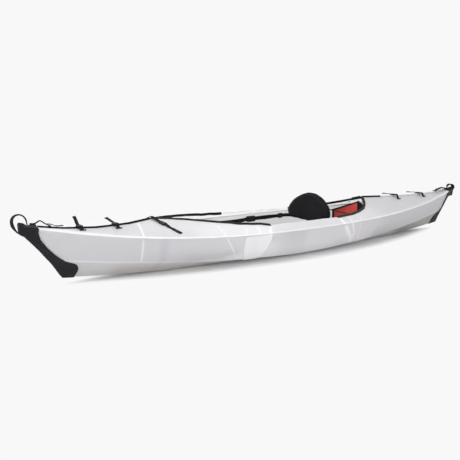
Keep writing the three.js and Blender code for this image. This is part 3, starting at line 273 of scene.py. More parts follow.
def sheet_material(name, colour, folds, painted_bands, through, depth=0.08):
    """Sheet that light passes a little: through is how much, depth how far."""
    made, tree, shader = new_material(name, colour, 0.36, Specular_IOR_Level=0.45, Subsurface_Scale=depth)
    shader.inputs["Subsurface Radius"].default_value = (1, 1, 1)
    place = place_of(tree)
    x, y, z = add_node(tree, "ShaderNodeSeparateXYZ", {0: place}).outputs
    out = maths(tree, "ABSOLUTE", y)
    mirrored = add_node(tree, "ShaderNodeCombineXYZ", {0: x, 1: out, 2: z}).outputs[0]

    bow = maths(tree, "GREATER_THAN", x, 0.0)
    whitened = None
    for mid, bow_end, stern_end, reach, power, strength in creases:
        share = maths(tree, "DIVIDE", maths(tree, "ABSOLUTE", x), reach)
        rise = maths(tree, "POWER", share, power)
        lift = maths(tree, "MULTIPLY_ADD", bow, bow_end - stern_end, stern_end - mid)
        level = maths(tree, "MULTIPLY_ADD", rise, lift, mid)
        edge = maths(tree, "ABSOLUTE", maths(tree, "SUBTRACT", z, level))
        line = maths(tree, "MULTIPLY", ramp_down(tree, edge, 0.0, crease_width), strength)
        whitened = line if whitened is None else maths(tree, "MAXIMUM", whitened, line)
    for points, width, strength in folds:
        fold = maths(tree, "MULTIPLY", along(tree, mirrored, points, width), strength)
        whitened = maths(tree, "MAXIMUM", whitened, fold)

    cloudy = noise_of(tree, place, 3.0, 4.0)
    soft = maths(tree, "MULTIPLY_ADD", cloudy, 0.10, -0.05)
    base = (*colour, 1)
    # Painted shade and painted light: each band mixes its darker or lighter colour into the base
    for points, width, strength, painted_colour in painted_bands:
        share = maths(tree, "MULTIPLY", along(tree, mirrored, points, width), strength)
        base = mix_colour(tree, share, base, (*painted_colour, 1))
    shade = maths(tree, "ADD", maths(tree, "MULTIPLY", whitened, 0.95), soft, clamp=True)
    base = mix_colour(tree, shade, base, whitened_colour)
    tree.links.new(base, shader.inputs["Base Color"])
    clear = maths(tree, "MULTIPLY_ADD", whitened, -0.9 * through, through)
    tree.links.new(clear, shader.inputs["Subsurface Weight"])
    worn = noise_of(tree, place, 22.0, 5.0)
    rough = maths(tree, "MULTIPLY_ADD", worn, 0.14, 0.30)
    tree.links.new(maths(tree, "MULTIPLY_ADD", whitened, 0.15, rough), shader.inputs["Roughness"])
    girth = maths(tree, "MULTIPLY_ADD", z, 0.46, out)
    flutes = maths(tree, "SINE", maths(tree, "MULTIPLY", girth, math.tau / flute_pitch))
    hollow = maths(tree, "MULTIPLY", whitened, -fold_relief)
    height = maths(tree, "MULTIPLY_ADD", flutes, flute_relief, hollow)
    height = maths(tree, "MULTIPLY_ADD", cloudy, buckling, height)
    bump_on(tree, shader, height, 1.0)
    return made


# Copies of one sheet. The hull copy holds the sheet's colour with its bands of painted shade; the deck copy
# is darker, a painted shade under the top lamp, with its band of painted light; the lower copy is darker and
# warmer, a painted shade; the tuck copy is lighter and lets less light through; the inside copy is lighter
# and pinker, painted light through the sheet and a painted reflection of the red bulkhead.
hull_white_with_painted_shade = sheet_material("white_sheet_hull_with_painted_shade", (0.765, 0.765, 0.80), side_folds, side_painted_shade_bands, 0.5)
deck_white_with_painted_light_and_shade = sheet_material("white_sheet_deck_with_painted_light_and_shade", (0.72, 0.72, 0.75), deck_folds, deck_painted_light_bands, 0.5)
low_white_with_painted_shade = sheet_material("white_sheet_low_with_painted_shade", (0.74, 0.735, 0.74), [], low_painted_shade_bands, 0.5)
tuck_white = sheet_material("white_sheet_tuck", (0.92, 0.92, 0.94), side_folds, [], 0.4)
inner_white_with_painted_light = sheet_material("white_sheet_inside_with_painted_light", (0.885, 0.84, 0.835), [], [], 1.0, 0.3)


def grained(name, colour, roughness, pitch, relief, tone=0.25, **plain):
    """Moulded or rubbery surface: fine grain, slightly uneven gloss and colour."""
    made, tree, shader = new_material(name, colour, roughness, **plain)
    place = place_of(tree)
    grain = noise_of(tree, place, 1 / pitch, 3.0)
    wide = noise_of(tree, place, 9.0, 3.0)
    lighter = tuple(value * (1 + tone) + 0.004 for value in colour)
    darker = tuple(value * (1 - tone) for value in colour)
    tree.links.new(mix_colour(tree, wide, (*darker, 1), (*lighter, 1)), shader.inputs["Base Color"])
    tree.links.new(maths(tree, "MULTIPLY_ADD", grain, 0.2, roughness - 0.1), shader.inputs["Roughness"])
    bump_on(tree, shader, grain, relief)
    return made


def woven(name, colour, roughness, pitch, relief, tone=0.3, **plain):
    """Cloth or webbing: woven relief, a little fuzz and uneven dye."""
    plain.update(Sheen_Weight=0.02, Sheen_Roughness=0.5)
    made, tree, shader = new_material(name, colour, roughness, **plain)
    place = place_of(tree)
    weave = lattice(tree, place, pitch)
    fuzz = noise_of(tree, place, 2 / pitch, 2.0)
    wide = noise_of(tree, place, 14.0, 4.0)
    lighter = tuple(value * (1 + tone) + 0.003 for value in colour)
    darker = tuple(value * (1 - tone) for value in colour)
    share = maths(tree, "MULTIPLY_ADD", weave, 0.5, maths(tree, "MULTIPLY", wide, 0.5))
    tree.links.new(mix_colour(tree, share, (*darker, 1), (*lighter, 1)), shader.inputs["Base Color"])
    tree.links.new(maths(tree, "MULTIPLY_ADD", fuzz, 0.15, roughness - 0.07), shader.inputs["Roughness"])
    bump_on(tree, shader, maths(tree, "MULTIPLY_ADD", fuzz, 0.4, weave), relief)
    return made


matt = {"Specular_IOR_Level": 0.12}
satin = {"Specular_IOR_Level": 0.2}
moulded = {"Specular_IOR_Level": 0.22}
red_dye = linear(196, 66, 58)
trim_black = grained("black_extrusion", (0.006, 0.006, 0.0075), 0.55, 0.0012, 0.00006, **matt)
plastic_black = grained("black_plastic", (0.009, 0.009, 0.0105), 0.42, 0.0008, 0.00008, **moulded)
webbing_black = woven("black_webbing", (0.0065, 0.0065, 0.008), 0.8, 0.0022, 0.00035, **matt)
cap_cloth = woven("cap_fabric", (0.0075, 0.008, 0.011), 0.6, 0.0016, 0.00016, **satin)
pad_cloth = woven("padded_fabric", (0.0065, 0.006, 0.0078), 0.85, 0.0030, 0.00040, **matt)
red_cloth = woven("red_fabric", red_dye, 0.70, 0.0018, 0.00020, tone=0.12)
cord_black = woven("black_cord", (0.012, 0.012, 0.013), 0.65, 0.0016, 0.00030)
thread_grey = woven("thread", (0.045, 0.046, 0.052), 0.60, 0.0008, 0.00010)


# Mesh helpers
def mesh_object(name, mesh, material):
    made = bpy.data.objects.new(name, mesh)
    scene.collection.objects.link(made)
    mesh.materials.clear()
    mesh.materials.append(material)
    return made


def mesh_from(name, made):
    mesh = bpy.data.meshes.new(name)
    made.to_mesh(mesh)
    made.free()
    return mesh


def welded(node, gap=0.00005):
    """Editable copy of a CAD node, with vertices closer than gap merged."""
    made = bmesh.new()
    made.from_mesh(nodes[node].data)
    bmesh.ops.remove_doubles(made, verts=made.verts, dist=gap)
    return made


def tree_on(obj):
    return BVHTree.FromObject(obj, bpy.context.evaluated_depsgraph_get())


def soften(obj, angle):
    """Smooth shading except over edges sharper than angle, in degrees."""
    mesh = obj.data
    made = bmesh.new()
    made.from_mesh(mesh)
    limit = math.radians(angle)
    for face in made.faces:
        face.smooth = True
    for edge in made.edges:
        edge.smooth = len(edge.link_faces) == 2 and edge.calc_face_angle(0) < limit
    made.to_mesh(mesh)
    made.free()


def apply_modifiers(obj):
    depsgraph = bpy.context.evaluated_depsgraph_get()
    mesh = bpy.data.meshes.new_from_object(obj.evaluated_get(depsgraph))
    obj.modifiers.clear()
    obj.data = mesh


def bevel(obj, width, angle):
    made = obj.modifiers.new("bevel", "BEVEL")
    made.width = width
    made.segments = 2
    made.limit_method = "ANGLE"
    made.angle_limit = math.radians(angle)
    apply_modifiers(obj)


def stand_for(obj, body, slot, *names):
    """Let a piece ride on a body, in place of the named nodes; slot is not used."""
    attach(obj, body)
    if names:
        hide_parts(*names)


def span_joint(obj, slot, child, start, end, *names):
    """Fix a soft piece where it is and hide the named nodes; child is not used, and start and end have no
    effect.
    """
    if names:
        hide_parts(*names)
    tuple(start)
    tuple(end)
    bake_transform(obj)


def dress(node, material, slot, edge=0.0, angle=35):
    """Beveled, smooth-shaded stand-in of one rigid CAD node."""
    name = f"{node}_dressed"
    made = welded(node)
    bmesh.ops.dissolve_degenerate(made, edges=made.edges, dist=0.00005)
    obj = mesh_object(name, mesh_from(name, made), material)
    if edge > 0:
        bevel(obj, edge, angle)
    soften(obj, angle)
    stand_for(obj, nodes[node]["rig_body"], slot, node)
    return obj


# Hull skin: bottom, sides and both deck halves in one, closed along the folds
tuck_shares = [(0.2133, 1), (0.2024, 0.73), (0.2013, 0.46), (0.2095, 0.23), (0.2285, 0.146),
               (0.272, 0.155), (0.2965, 0.55), (0.318, 1)]
sheet_gap = 0.0006
sheet_edge = 0.0006
rubber_lip = 0.0018


def inside_outline(x, y, outline):
    """Whether a point lies inside a closed outline, by counting crossings."""
    crossed = False
    for (x0, y0), (x1, y1) in zip(outline, [*outline[1:], outline[0]]):
        if (y0 > y) != (y1 > y) and x < x0 + (x1 - x0) * (y - y0) / (y1 - y0):
            crossed = not crossed
    return crossed


def hull_skin():
    """The sheet and both deck halves as one skin, with a material for each kind of face."""
    names = ["hull_sheet", "deck_port", "deck_starboard"]
    made = bmesh.new()
    source = made.verts.layers.int.new("source")
    for index, name in enumerate(names):
        before = len(made.verts)
        made.from_mesh(nodes[name].data)
        made.verts.ensure_lookup_table()
        for vert in made.verts[before:]:
            vert[source] = 1 if index == 0 else 2
    bmesh.ops.remove_doubles(made, verts=made.verts, dist=0.00001)
    made.verts.ensure_lookup_table()
    trees = {}
    for kind in (1, 2):
        members = [vert for vert in made.verts if vert[source] == kind]
        tree = KDTree(len(members))
        for vert in members:
            tree.insert(vert.co, vert.index)
        tree.balance()
        trees[kind] = tree
    shared = set()
    for vert in made.verts:
        other = trees[3 - vert[source]]
        if other.find(vert.co)[2] < sheet_gap:
            shared.add(vert.index)
    inside = [face for face in made.faces if all(vert.index in shared for vert in face.verts)]
    bmesh.ops.delete(made, geom=inside, context="FACES_ONLY")
    close = [vert for vert in made.verts if vert.index in shared]
    bmesh.ops.remove_doubles(made, verts=close, dist=sheet_gap)
    loose = [vert for vert in made.verts if not vert.link_faces]
    bmesh.ops.delete(made, geom=loose, context="VERTS")
    mesh = mesh_from("hull_skin", made)
    obj = mesh_object("hull_skin", mesh, hull_white_with_painted_shade)
    for material in (deck_white_with_painted_light_and_shade, tuck_white, inner_white_with_painted_light, low_white_with_painted_shade):
        mesh.materials.append(material)
    # Each kind of face takes its copy of the sheet, so deck, inside and lower faces carry painted shade and
    # painted light in their colours
    for polygon in mesh.polygons:
        middle = polygon.center
        on_deck = middle.z > crease_level(middle.x, creases[0])
        if (polygon.normal.z < 0) == on_deck:
            polygon.material_index = 3
        elif on_deck:
            polygon.material_index = 1
        elif inside_outline(middle.x / half_sheet, middle.z / chine_mid, tuck_shares):
            polygon.material_index = 2
        elif middle.z < crease_level(middle.x, creases[1]):
            polygon.material_index = 4
    soften(obj, 22)
    stand_for(obj, "hull", "white_sheet", *names)


hull_skin()
for name in ("rear_seam_strip", "floorboard"):
    dress(name, hull_white_with_painted_shade, "white_sheet", sheet_edge)
for name in ("coaming_trim_front_port", "coaming_trim_front_starboard", "coaming_trim_rear",
             "front_seam_channel", "rear_seam_channel"):
    trim = dress(name, trim_black, "black_extrusion", 0.0, 30)
    if name == "coaming_trim_rear":
        normals = [vert.normal.copy() for vert in trim.data.vertices]
        for vert, normal in zip(trim.data.vertices, normals):
            vert.co += normal * rubber_lip

plastics = ["coaming_clip", "deck_button_port", "deck_button_starboard", "backrest_stem", "foot_brace",
            "bow_cap_buckle", "stern_cap_buckle"]
for name in nodes:
    if name.endswith(("_female", "_clip", "_slider")) and name not in plastics:
        plastics.append(name)
for name in plastics:
    dress(name, plastic_black, "black_plastic", sheet_edge)


# Curves, webbing bands and stitches
def curve_through(points, step):
    """Smooth curve through the points, sampled about every step."""
    points = [Vector(point) for point in points]
    spread = [points[0] * 2 - points[1], *points, points[-1] * 2 - points[-2]]
    made = []
    for index in range(1, len(spread) - 2):
        a, b, c, d = spread[index - 1:index + 3]
        count = max(2, math.ceil((c - b).length / step))
        for part in range(count):
            t = part / count
            made.append(0.5 * (2 * b + (c - a) * t + (2 * a - 5 * b + 4 * c - d) * t ** 2
                               + (3 * b - a - 3 * c + d) * t ** 3))
    made.append(points[-1])
    return made


def stations(path):
    """Each point of a path with its share of the way and its direction."""
    for index, point in enumerate(path):
        before = path[max(index - 1, 0)]
        after = path[min(index + 1, len(path) - 1)]
        yield point, index / (len(path) - 1), (after - before).normalized()


def tube_rings(made, rings):
    """Skin between closed rings of equal count, with flat ends."""
    rows = [[made.verts.new(point) for point in ring] for ring in rings]
    count = len(rows[0])
    for low, high in zip(rows, rows[1:]):
        for index in range(count):
            after = (index + 1) % count
            made.faces.new((low[index], low[after], high[after], high[index]))
    made.faces.new(list(reversed(rows[0])))
    made.faces.new(rows[-1])


band_section = [(-1, -0.4), (-0.97, -1), (-0.5, -1), (0, -1), (0.5, -1), (0.97, -1),
                (1, -0.4), (1, 0.4), (0.97, 1), (0.5, 1), (0, 1), (-0.5, 1), (-0.97, 1), (-1, 0.4)]


def band(made, points, across, width, thickness, step=0.004):
    """Webbing along a smooth path; across and width may be functions of the share of the way."""
    rings = []
    for point, share, along in stations(curve_through(points, step)):
        side = Vector(across(share) if callable(across) else across)
        side = (side - along * side.dot(along)).normalized()
        up = side.cross(along)
        half = (width(share) if callable(width) else width) / 2
        rings.append([point + side * (half * u) + up * (thickness / 2 * v) for u, v in band_section])
    tube_rings(made, rings)


def tube(made, points, radius, sides=8, step=0.004):
    """Round cord or piping along a smooth path."""
    turns = [math.tau * turn / sides for turn in range(sides)]
    rings = []
    for point, _, along in stations(curve_through(points, step)):
        side = along.cross(Vector((0, 0, 1)) if abs(along.z) < 0.9 else Vector((1, 0, 0))).normalized()
        up = side.cross(along)
        rings.append([point + side * (math.cos(turn) * radius) + up * (math.sin(turn) * radius)
                      for turn in turns])
    tube_rings(made, rings)


stitch_pitch = 0.0042
stitch_length = 0.0028
stitch_half = 0.00035
square = ((-1, -1), (1, -1), (1, 1), (-1, 1))


def stitches(made, points, up):
    """A row of thread stitches along a path, half sunk into the cloth; up may be a list along it."""
    path = curve_through(points, stitch_pitch)
    for index in range(len(path) - 1):
        start = path[index]
        along = path[index + 1] - start
        if along.length < stitch_half:
            continue
        along = along.normalized() * min(stitch_length, along.length * 0.7)
        share = index / (len(path) - 1)
        normal = Vector(up[round(share * (len(up) - 1))] if isinstance(up, list) else up)
        side = along.cross(normal).normalized() * stitch_half
        crown = normal.normalized() * stitch_half
        rings = [[start + along * part + side * u + crown * v * lift for u, v in square]
                 for part, lift in ((0, 0.2), (0.2, 1), (0.8, 1), (1, 0.2))]
        tube_rings(made, rings)


def box_stitches(made, centre, along, side, up, length, width):
    """The sewn rectangle with its crossed diagonals that holds webbing."""
    corners = [centre + along * (a * length / 2) + side * (w * width / 2) for a, w in square]
    for first, second in ((0, 1), (1, 2), (2, 3), (3, 0), (0, 2), (1, 3)):
        stitches(made, [corners[first], corners[second]], up)


def piece(name, made, material, angle=40):
    bmesh.ops.recalc_face_normals(made, faces=made.faces)
    obj = mesh_object(name, mesh_from(name, made), material)
    soften(obj, angle)
    return obj


def webbing(name, made, *names, body="hull"):
    stand_for(piece(name, made, webbing_black), body, "black_webbing", *names)


def spanning_webbing(name, made, child, start, end, *names):
    span_joint(piece(name, made, webbing_black), "black_webbing", child, start, end, *names)


def threads(name, sew, body="hull", slot="black_webbing"):
    stand_for(piece(name, sew, thread_grey), body, slot)


def tree_of(*names):
    made = bmesh.new()
    for name in names:
        made.from_mesh(nodes[name].data)
    tree = BVHTree.FromBMesh(made)
    made.free()
    return tree


deck_tree = tree_of("deck_port", "deck_starboard")
down = Vector((0, 0, -1))


def deck_at(x, y, lift=0.0):
    """Point on the deck, raised by lift along the deck's normal."""
    hit, normal = deck_tree.ray_cast(Vector((x, y, 1)), down)[:2]
    return hit + normal * lift


# Deck straps: buckle frame from the socket's own faces and the joint's axis
releases = [joint for joint in frame["joints"] if joint["name"].endswith("_release")]
release_axes = {joint["child"]: Vector(joint["axis"]) for joint in releases}
web_width = 0.020
web_thick = 0.0019
doubled_width = web_width * 0.97
doubled_thick = web_thick * 0.9
female_length = 0.030
male_length = 0.019
buckle_middle = 0.0045
anchor_lift = 0.0035
patch_lift = 0.0025
bar_size = (0.038, 0.010, 0.006)
far_bar_size = (0.024, 0.010, 0.0055)
patch_size = (0.072, 0.024, 0.004)
tail_twist = 0.18
tail_curve = ((0.08, 0.03), (0.30, 0.24), (0.62, 0.68), (0.85, 0.90), (1.0, 1.0))


def buckle_frame(name):
    """Places along and above a buckle, measured from its socket's mouth, and its two cross directions."""
    mesh = nodes[f"{name}_female"].data
    along = release_axes[f"{name}_clip"].normalized()
    widest = {}
    for polygon in mesh.polygons:
        if polygon.normal.z > 0.7 and abs(polygon.normal.dot(along)) < 0.05:
            key = tuple(round(value, 2) for value in polygon.normal)
            widest[key] = widest.get(key, 0) + polygon.area
    up = Vector(max(widest, key=widest.get)).normalized()
    side = along.cross(up).normalized()
    corners = [vert.co for vert in mesh.vertices]
    reach = max(corner.dot(along) for corner in corners)
    sides = [corner.dot(side) for corner in corners]
    low = min(corner.dot(up) for corner in corners)
    origin = along * reach + side * ((min(sides) + max(sides)) / 2) + up * low

    def local(forward_way, height):
        return origin + along * forward_way + up * height
    return local, side, up


def squarish(turn, power):
    """Cosine and sine of a turn, pushed out towards a square."""
    return [math.copysign(abs(value) ** power, value) for value in (math.cos(turn), math.sin(turn))]


def anchor_bar(made, centre, along, side, up, size):
    """Sewn anchor: a low rounded bar that lies on the deck, with its length along the first direction."""
    length, width, height = size
    rings = []
    for share, swell in ((-1, 0.55), (-0.96, 0.85), (-0.88, 1), (0.88, 1), (0.96, 0.85), (1, 0.55)):
        middle = centre + along * (share * length / 2)
        ring = []
        for turn in range(12):
            flat, tall = squarish(math.tau * turn / 12, 0.5)
            ring.append(middle + side * (flat * width / 2 * swell) + up * (tall * height / 2 * swell))
        rings.append(ring)
    tube_rings(made, rings)


def port_webbing(name, place, bar, crossing):
    """The socket's side of a deck strap: doubled webbing, an anchor and its stitching."""
    local, side, up = buckle_frame(name)
    port = deck_at(*place, anchor_lift)
    port_up = deck_tree.find_nearest(port)[1]
    bend = local(-female_length - 0.006, buckle_middle * 0.8)
    inner = local(-female_length + 0.004, buckle_middle)
    middle = (bend + port) / 2
    near = deck_tree.find_nearest(middle)
    lowest = near[0] + near[1] * patch_lift
    middle = lowest if crossing else middle.lerp(lowest, 0.5)
    made = bmesh.new()
    band(made, [inner, bend, middle, port], side, web_width, web_thick)
    doubled = [point + up * web_thick for point in (inner, bend, bend.lerp(middle, 0.6))]
    band(made, doubled, side, doubled_width, doubled_thick)
    sew = bmesh.new()
    sewn = bend.lerp(middle, 0.35) + up * (web_thick * 1.55)
    box_stitches(sew, sewn, (middle - bend).normalized(), side, up, 0.012, 0.013)
    if bar == patch_size:
        outward = port - middle
        outward = (outward - port_up * outward.dot(port_up)).normalized()
        near = deck_tree.find_nearest(port + outward * ((bar[0] - web_width) / 2))
        flat = (outward - near[1] * outward.dot(near[1])).normalized()
        across = near[1].cross(flat)
        anchor_bar(made, near[0] + near[1] * patch_lift, flat, across, near[1], bar)
        box_stitches(sew, near[0] + near[1] * (patch_lift + bar[2] / 2), flat, across, near[1], 0.04, 0.014)
    else:
        anchor_bar(made, port, side, port_up.cross(side), port_up, bar)
        row = [port + side * out + port_up * 0.0033 for out in (-0.012, 0.012)]
        stitches(sew, row, port_up)
    webbing(f"{name}_port_band", made, f"{name}_port")
    threads(f"{name}_port_thread", sew)


def starboard_webbing(name, place, tail_reach, tail_rise, crossing):
    """The clip's side of a deck strap: webbing to an anchor, and a loose twisted tail with a hem."""
    local, side, up = buckle_frame(name)
    far = deck_at(*place, anchor_lift)
    far_up = deck_tree.find_nearest(far)[1]
    start = local(male_length + 0.004, buckle_middle)
    made = bmesh.new()
    band(made, [local(male_length - 0.003, buckle_middle), start, *crossing, far], side, web_width, web_thick)
    anchor_bar(made, far, side, far_up.cross(side), far_up, far_bar_size)
    tail = [local(male_length - 0.002, buckle_middle + web_thick * 1.05)]
    for reach, rise in tail_curve:
        tail.append(local(male_length + tail_reach * reach, buckle_middle + web_thick + tail_rise * rise))

    def turned(share):
        return side * math.cos(tail_twist * share) + up * math.sin(tail_twist * share)
    band(made, tail, turned, web_width, web_thick)
    end = tail[-1]
    inner_end = tail[-2].lerp(end, 0.2)
    hem_up = (end - inner_end).cross(turned(1)).normalized()
    if hem_up.z < 0:
        hem_up.negate()
    hem = [point + hem_up * web_thick for point in (inner_end, end)]
    band(made, hem, turned(1), web_width, web_thick * 0.8)
    spanning_webbing(f"{name}_starboard_band", made, f"{name}_clip", far, start, f"{name}_starboard")


strap_tails = {"front_strap_1": (0.066, 0.040), "front_strap_2": (0.122, 0.012),
               "rear_strap_1": (0.096, -0.005), "rear_strap_2": (0.104, -0.007)}
for strap, (tail_reach, tail_rise) in strap_tails.items():
    low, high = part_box(f"{strap}_female")
    strap_x = (low[0] + high[0]) / 2
    port_webbing(strap, (strap_x, 0.062), bar_size, ())
    starboard_webbing(strap, (strap_x, -0.038), tail_reach, tail_rise, ())
ridge_crossing = deck_at(1.052, 0.006) + Vector((0, -0.006, 0.0135))
port_webbing("front_strap_3", (0.995, 0.190), patch_size, (ridge_crossing,))
starboard_webbing("front_strap_3", (1.072, -0.038), 0.070, 0.005, (ridge_crossing,))


# Cap straps: from a sewn head on the cap, through the ladder buckle, to an anchor and a loose tail
cap_swell = 0.012
swell_end = 0.125
swell_fade = 0.03
root_dip = 0.013
roots = {1: 0.045, -1: 0.066}
strap_rib = 0.0095


def cap_rise(setback, end):
    """How far the cap's filled top stands above the deck, with a dip round the handle's root."""
    dip = 1 - math.exp(-((setback - roots[end]) / root_dip) ** 2)
    fade = min(max((swell_end - setback) / swell_fade, 0), 1)
    return cap_swell * dip * fade


def cap_strap(name, end, head, buckle, rises, anchor, tail, tail_rises):
    """Webbing through one ladder buckle; every place is a setback from the tip."""
    def over(setback, rise, lift=strap_rib):
        x = end * (half_sheet - setback)
        return Vector((x, 0, deck_at(x, 0.009).z + max(lift + rise, cap_rise(setback, end) + 0.006)))
    made = bmesh.new()
    side = Vector((0, 1, 0))
    up = Vector((0, 0, 1))
    sewn = over(head[0], 0.001, 0.006)
    seam = over(head[1], 0.002)
    entry = over(buckle[0], rises[0])
    leave = over(buckle[1], rises[1])
    band(made, [sewn, seam, entry, leave, over(anchor, 0.003)], side, web_width, web_thick * 1.5)
    doubled = [point + up * web_thick for point in (sewn.lerp(seam, 0.1), seam, entry)]
    band(made, doubled, side, doubled_width, doubled_thick)
    crown = over((half_sheet - leave.x * end + tail[0]) / 2, tail_rises[0])
    loose = [leave + up * web_thick, crown, over(tail[0], tail_rises[1]), over(tail[1], tail_rises[2])]
    band(made, loose, side, web_width, web_thick * 1.8)
    anchor_bar(made, over(anchor, 0.0015), side, Vector((1, 0, 0)), up, bar_size)
    webbing(f"{name}_cap_band", made, f"{name}_cap_strap")
    sew = bmesh.new()
    box_stitches(sew, sewn.lerp(seam, 0.4) + up * 0.0016, (seam - sewn).normalized(), side, up, 0.014, 0.013)
    threads(f"{name}_cap_band_thread", sew)


buckle_span = (0.117, 0.147)
cap_strap("bow", 1, (0.060, 0.086), buckle_span, (0.027, 0.009), 0.166, (0.204, 0.241), (0.011, 0.004, 0.008))
cap_strap("stern", -1, (0.074, 0.094), buckle_span, (0.014, 0.015), 0.226, (0.186, 0.208),
          (0.017, 0.014, 0.012))


# Carrying handles: twisted webbing loops with sewn round roots
handle_samples = 12
handle_thick = 0.0046
handle_narrow = 0.007
handle_widening = 0.0225
root_radius = 0.0032
root_half = 0.0016


def handle(name, end, rise, reach):
    """A webbing loop from the cap's top round to its front, both ends on the swing axis."""
    joint = next(each for each in frame["joints"] if each["name"] == f"{name}_handle_swing")
    top = Vector(joint["pos_m"])
    axis = Vector(joint["axis"])
    low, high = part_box(f"{name}_cap")
    tip = max(high[0], -low[0]) * end
    front_x = tip + end * 0.0043
    front = top + axis * ((front_x - top.x) / axis.x)
    first = top + Vector((end * 0.003, 0, rise))
    second = Vector((front.x + end * reach, 0, top.z + rise * 0.62))
    points = []
    for index in range(handle_samples + 1):
        t = index / handle_samples
        u = 1 - t
        points.append(top * u ** 3 + first * (3 * u * u * t) + second * (3 * u * t * t) + front * t ** 3)

    def across(share):
        turn = math.radians(32 - 68 * share)
        return (math.sin(turn), math.cos(turn), 0)

    def width(share):
        taper = min(min(share, 1 - share) / 0.24, 1)
        smooth = taper * taper * (3 - 2 * taper)
        return handle_narrow + handle_widening * smooth
    made = bmesh.new()
    band(made, points, across, width, handle_thick)
    for root in (top, front):
        tube(made, [root - axis * root_half, root + axis * root_half], root_radius, 10)
    webbing(f"{name}_handle_web", made, f"{name}_handle", body=f"{name}_handle")
    sew = bmesh.new()
    for share in (0.2, 0.8):
        index = round(share * handle_samples)
        near = points[index]
        along = (points[index + 1] - near).normalized()
        side = Vector(across(share))
        side = (side - along * side.dot(along)).normalized()
        up = side.cross(along)
        for face in (-1, 1):
            box_stitches(sew, near + up * (face * 0.0024), along, side, up * face, 0.018, 0.012)
    threads(f"{name}_handle_thread", sew, f"{name}_handle")


handle("bow", 1, rise=0.098, reach=0.084)
handle("stern", -1, rise=0.060, reach=0.044)


# Cloth: fine mesh, inflated pads, and their piping
def densify(made, limit):
    """Split edges longer than limit, in a few rounds."""
    for _ in range(6):
        long_edges = [edge for edge in made.edges if edge.calc_length() > limit]
        if not long_edges:
            break
        bmesh.ops.subdivide_edges(made, edges=long_edges, cuts=1)
        bmesh.ops.triangulate(made, faces=[face for face in made.faces if len(face.verts) > 4])


cloth_frames = 20


def inflate(obj, voxel, pressure, cap):
    """Remesh a pad and let cloth pressure swell it; no point moves further than cap."""
    remesh = obj.modifiers.new("remesh", "REMESH")
    remesh.mode = "VOXEL"
    remesh.voxel_size = voxel
    apply_modifiers(obj)
    start = [vert.co.copy() for vert in obj.data.vertices]
    cloth = obj.modifiers.new("cloth", "CLOTH")
    cloth.settings.quality = 4
    cloth.settings.use_pressure = True
    cloth.settings.uniform_pressure_force = pressure
    cloth.settings.effector_weights.gravity = 0
    cloth.collision_settings.use_collision = False
    cloth.point_cache.frame_start = 1
    cloth.point_cache.frame_end = cloth_frames
    for number in range(1, cloth_frames + 1):
        scene.frame_set(number)
    swollen = obj.evaluated_get(bpy.context.evaluated_depsgraph_get()).data
    moved = [vert.co.copy() for vert in swollen.vertices]
    obj.modifiers.clear()
    scene.frame_set(1)
    for vert, first, last in zip(obj.data.vertices, start, moved):
        move = last - first
        if move.length > cap:
            move = move.normalized() * cap
        vert.co = first + move
    smooth = obj.modifiers.new("subdivision", "SUBSURF")
    smooth.levels = 1
    apply_modifiers(obj)
    for polygon in obj.data.polygons:
        polygon.use_smooth = True


def surface_path(tree, points, lift):
    """The points carried onto a surface and raised by lift, with the surface's directions there."""
    found = [tree.find_nearest(Vector(point))[:2] for point in points]
    return [hit + normal * lift for hit, normal in found], [normal for _, normal in found]


def sewn_edge(name, obj, loops, radius, body, inset_rows):
    """Piping along loops on a pad, with rows of stitches beside it."""
    tree = tree_on(obj)
    made = bmesh.new()
    for loop in loops:
        tube(made, surface_path(tree, loop, radius * 0.45)[0], radius, 8, 0.006)
    webbing(f"{name}_piping", made, body=body)
    sew = bmesh.new()
    for row in inset_rows:
        stitches(sew, *surface_path(tree, row, 0.0002))
    threads(f"{name}_thread", sew, body)


# Backrest pad: narrower at the shoulders than below, a little wrapped, crowned by its filling
rest_bottom = Vector((-0.204, 0, 0.188))
rest_lean = math.radians(12)
rest_half_width = 0.228
rest_height = 0.219
rest_half_depth = 0.023
rest_wrap = 0.012
rest_curl = 0.006
rest_taper = 0.25
rest_shrink = 0.001
rest_piping = 0.0026
rest_shares = [(0, -0.004), (0.25, 0.0), (0.5, 0.02), (0.74, 0.055), (0.89, 0.115), (0.955, 0.21),
               (0.965, 0.33), (0.92, 0.47), (0.83, 0.61), (0.70, 0.73), (0.53, 0.84), (0.31, 0.93),
               (0.12, 0.98), (0, 0.985)]
rest_section = [(-0.80, 0.060), (-0.90, 0.022), (-0.78, 0.006), (-0.45, 0.002), (0, 0.001),
                (0.45, 0.002), (0.78, 0.006), (0.90, 0.022), (0.80, 0.060)]
rest_up = Vector((-math.sin(rest_lean), 0, math.cos(rest_lean)))
rest_out = Vector((math.cos(rest_lean), 0, math.sin(rest_lean)))


def rest_point(across_share, rise_share, depth, inset=0.0):
    """Place on the pad: shares of its half width and height, depth from its middle, inset from its edge."""
    middle = 0.42
    across = across_share * (1 - inset / rest_half_width)
    rise = middle + (rise_share - middle) * (1 - inset * 2 / rest_height)
    wrap = rest_wrap * across_share ** 2 + rest_curl * rise_share ** 2
    depth *= 1 - rest_taper * max(rise_share, 0)
    point = rest_bottom + rest_up * (rise * rest_height) + rest_out * (depth + wrap)
    return point + Vector((0, across * rest_half_width, 0))


right_half = curve_through([(across, rise, 0) for across, rise in rest_shares], 0.06)
left_half = [Vector((-point.x, point.y, 0)) for point in reversed(right_half[1:-1])]
outline = [*right_half, *left_half]


def rest_ring(points, depth, inset):
    return [rest_point(point.x, point.y, depth * rest_half_depth, inset) for point in points]


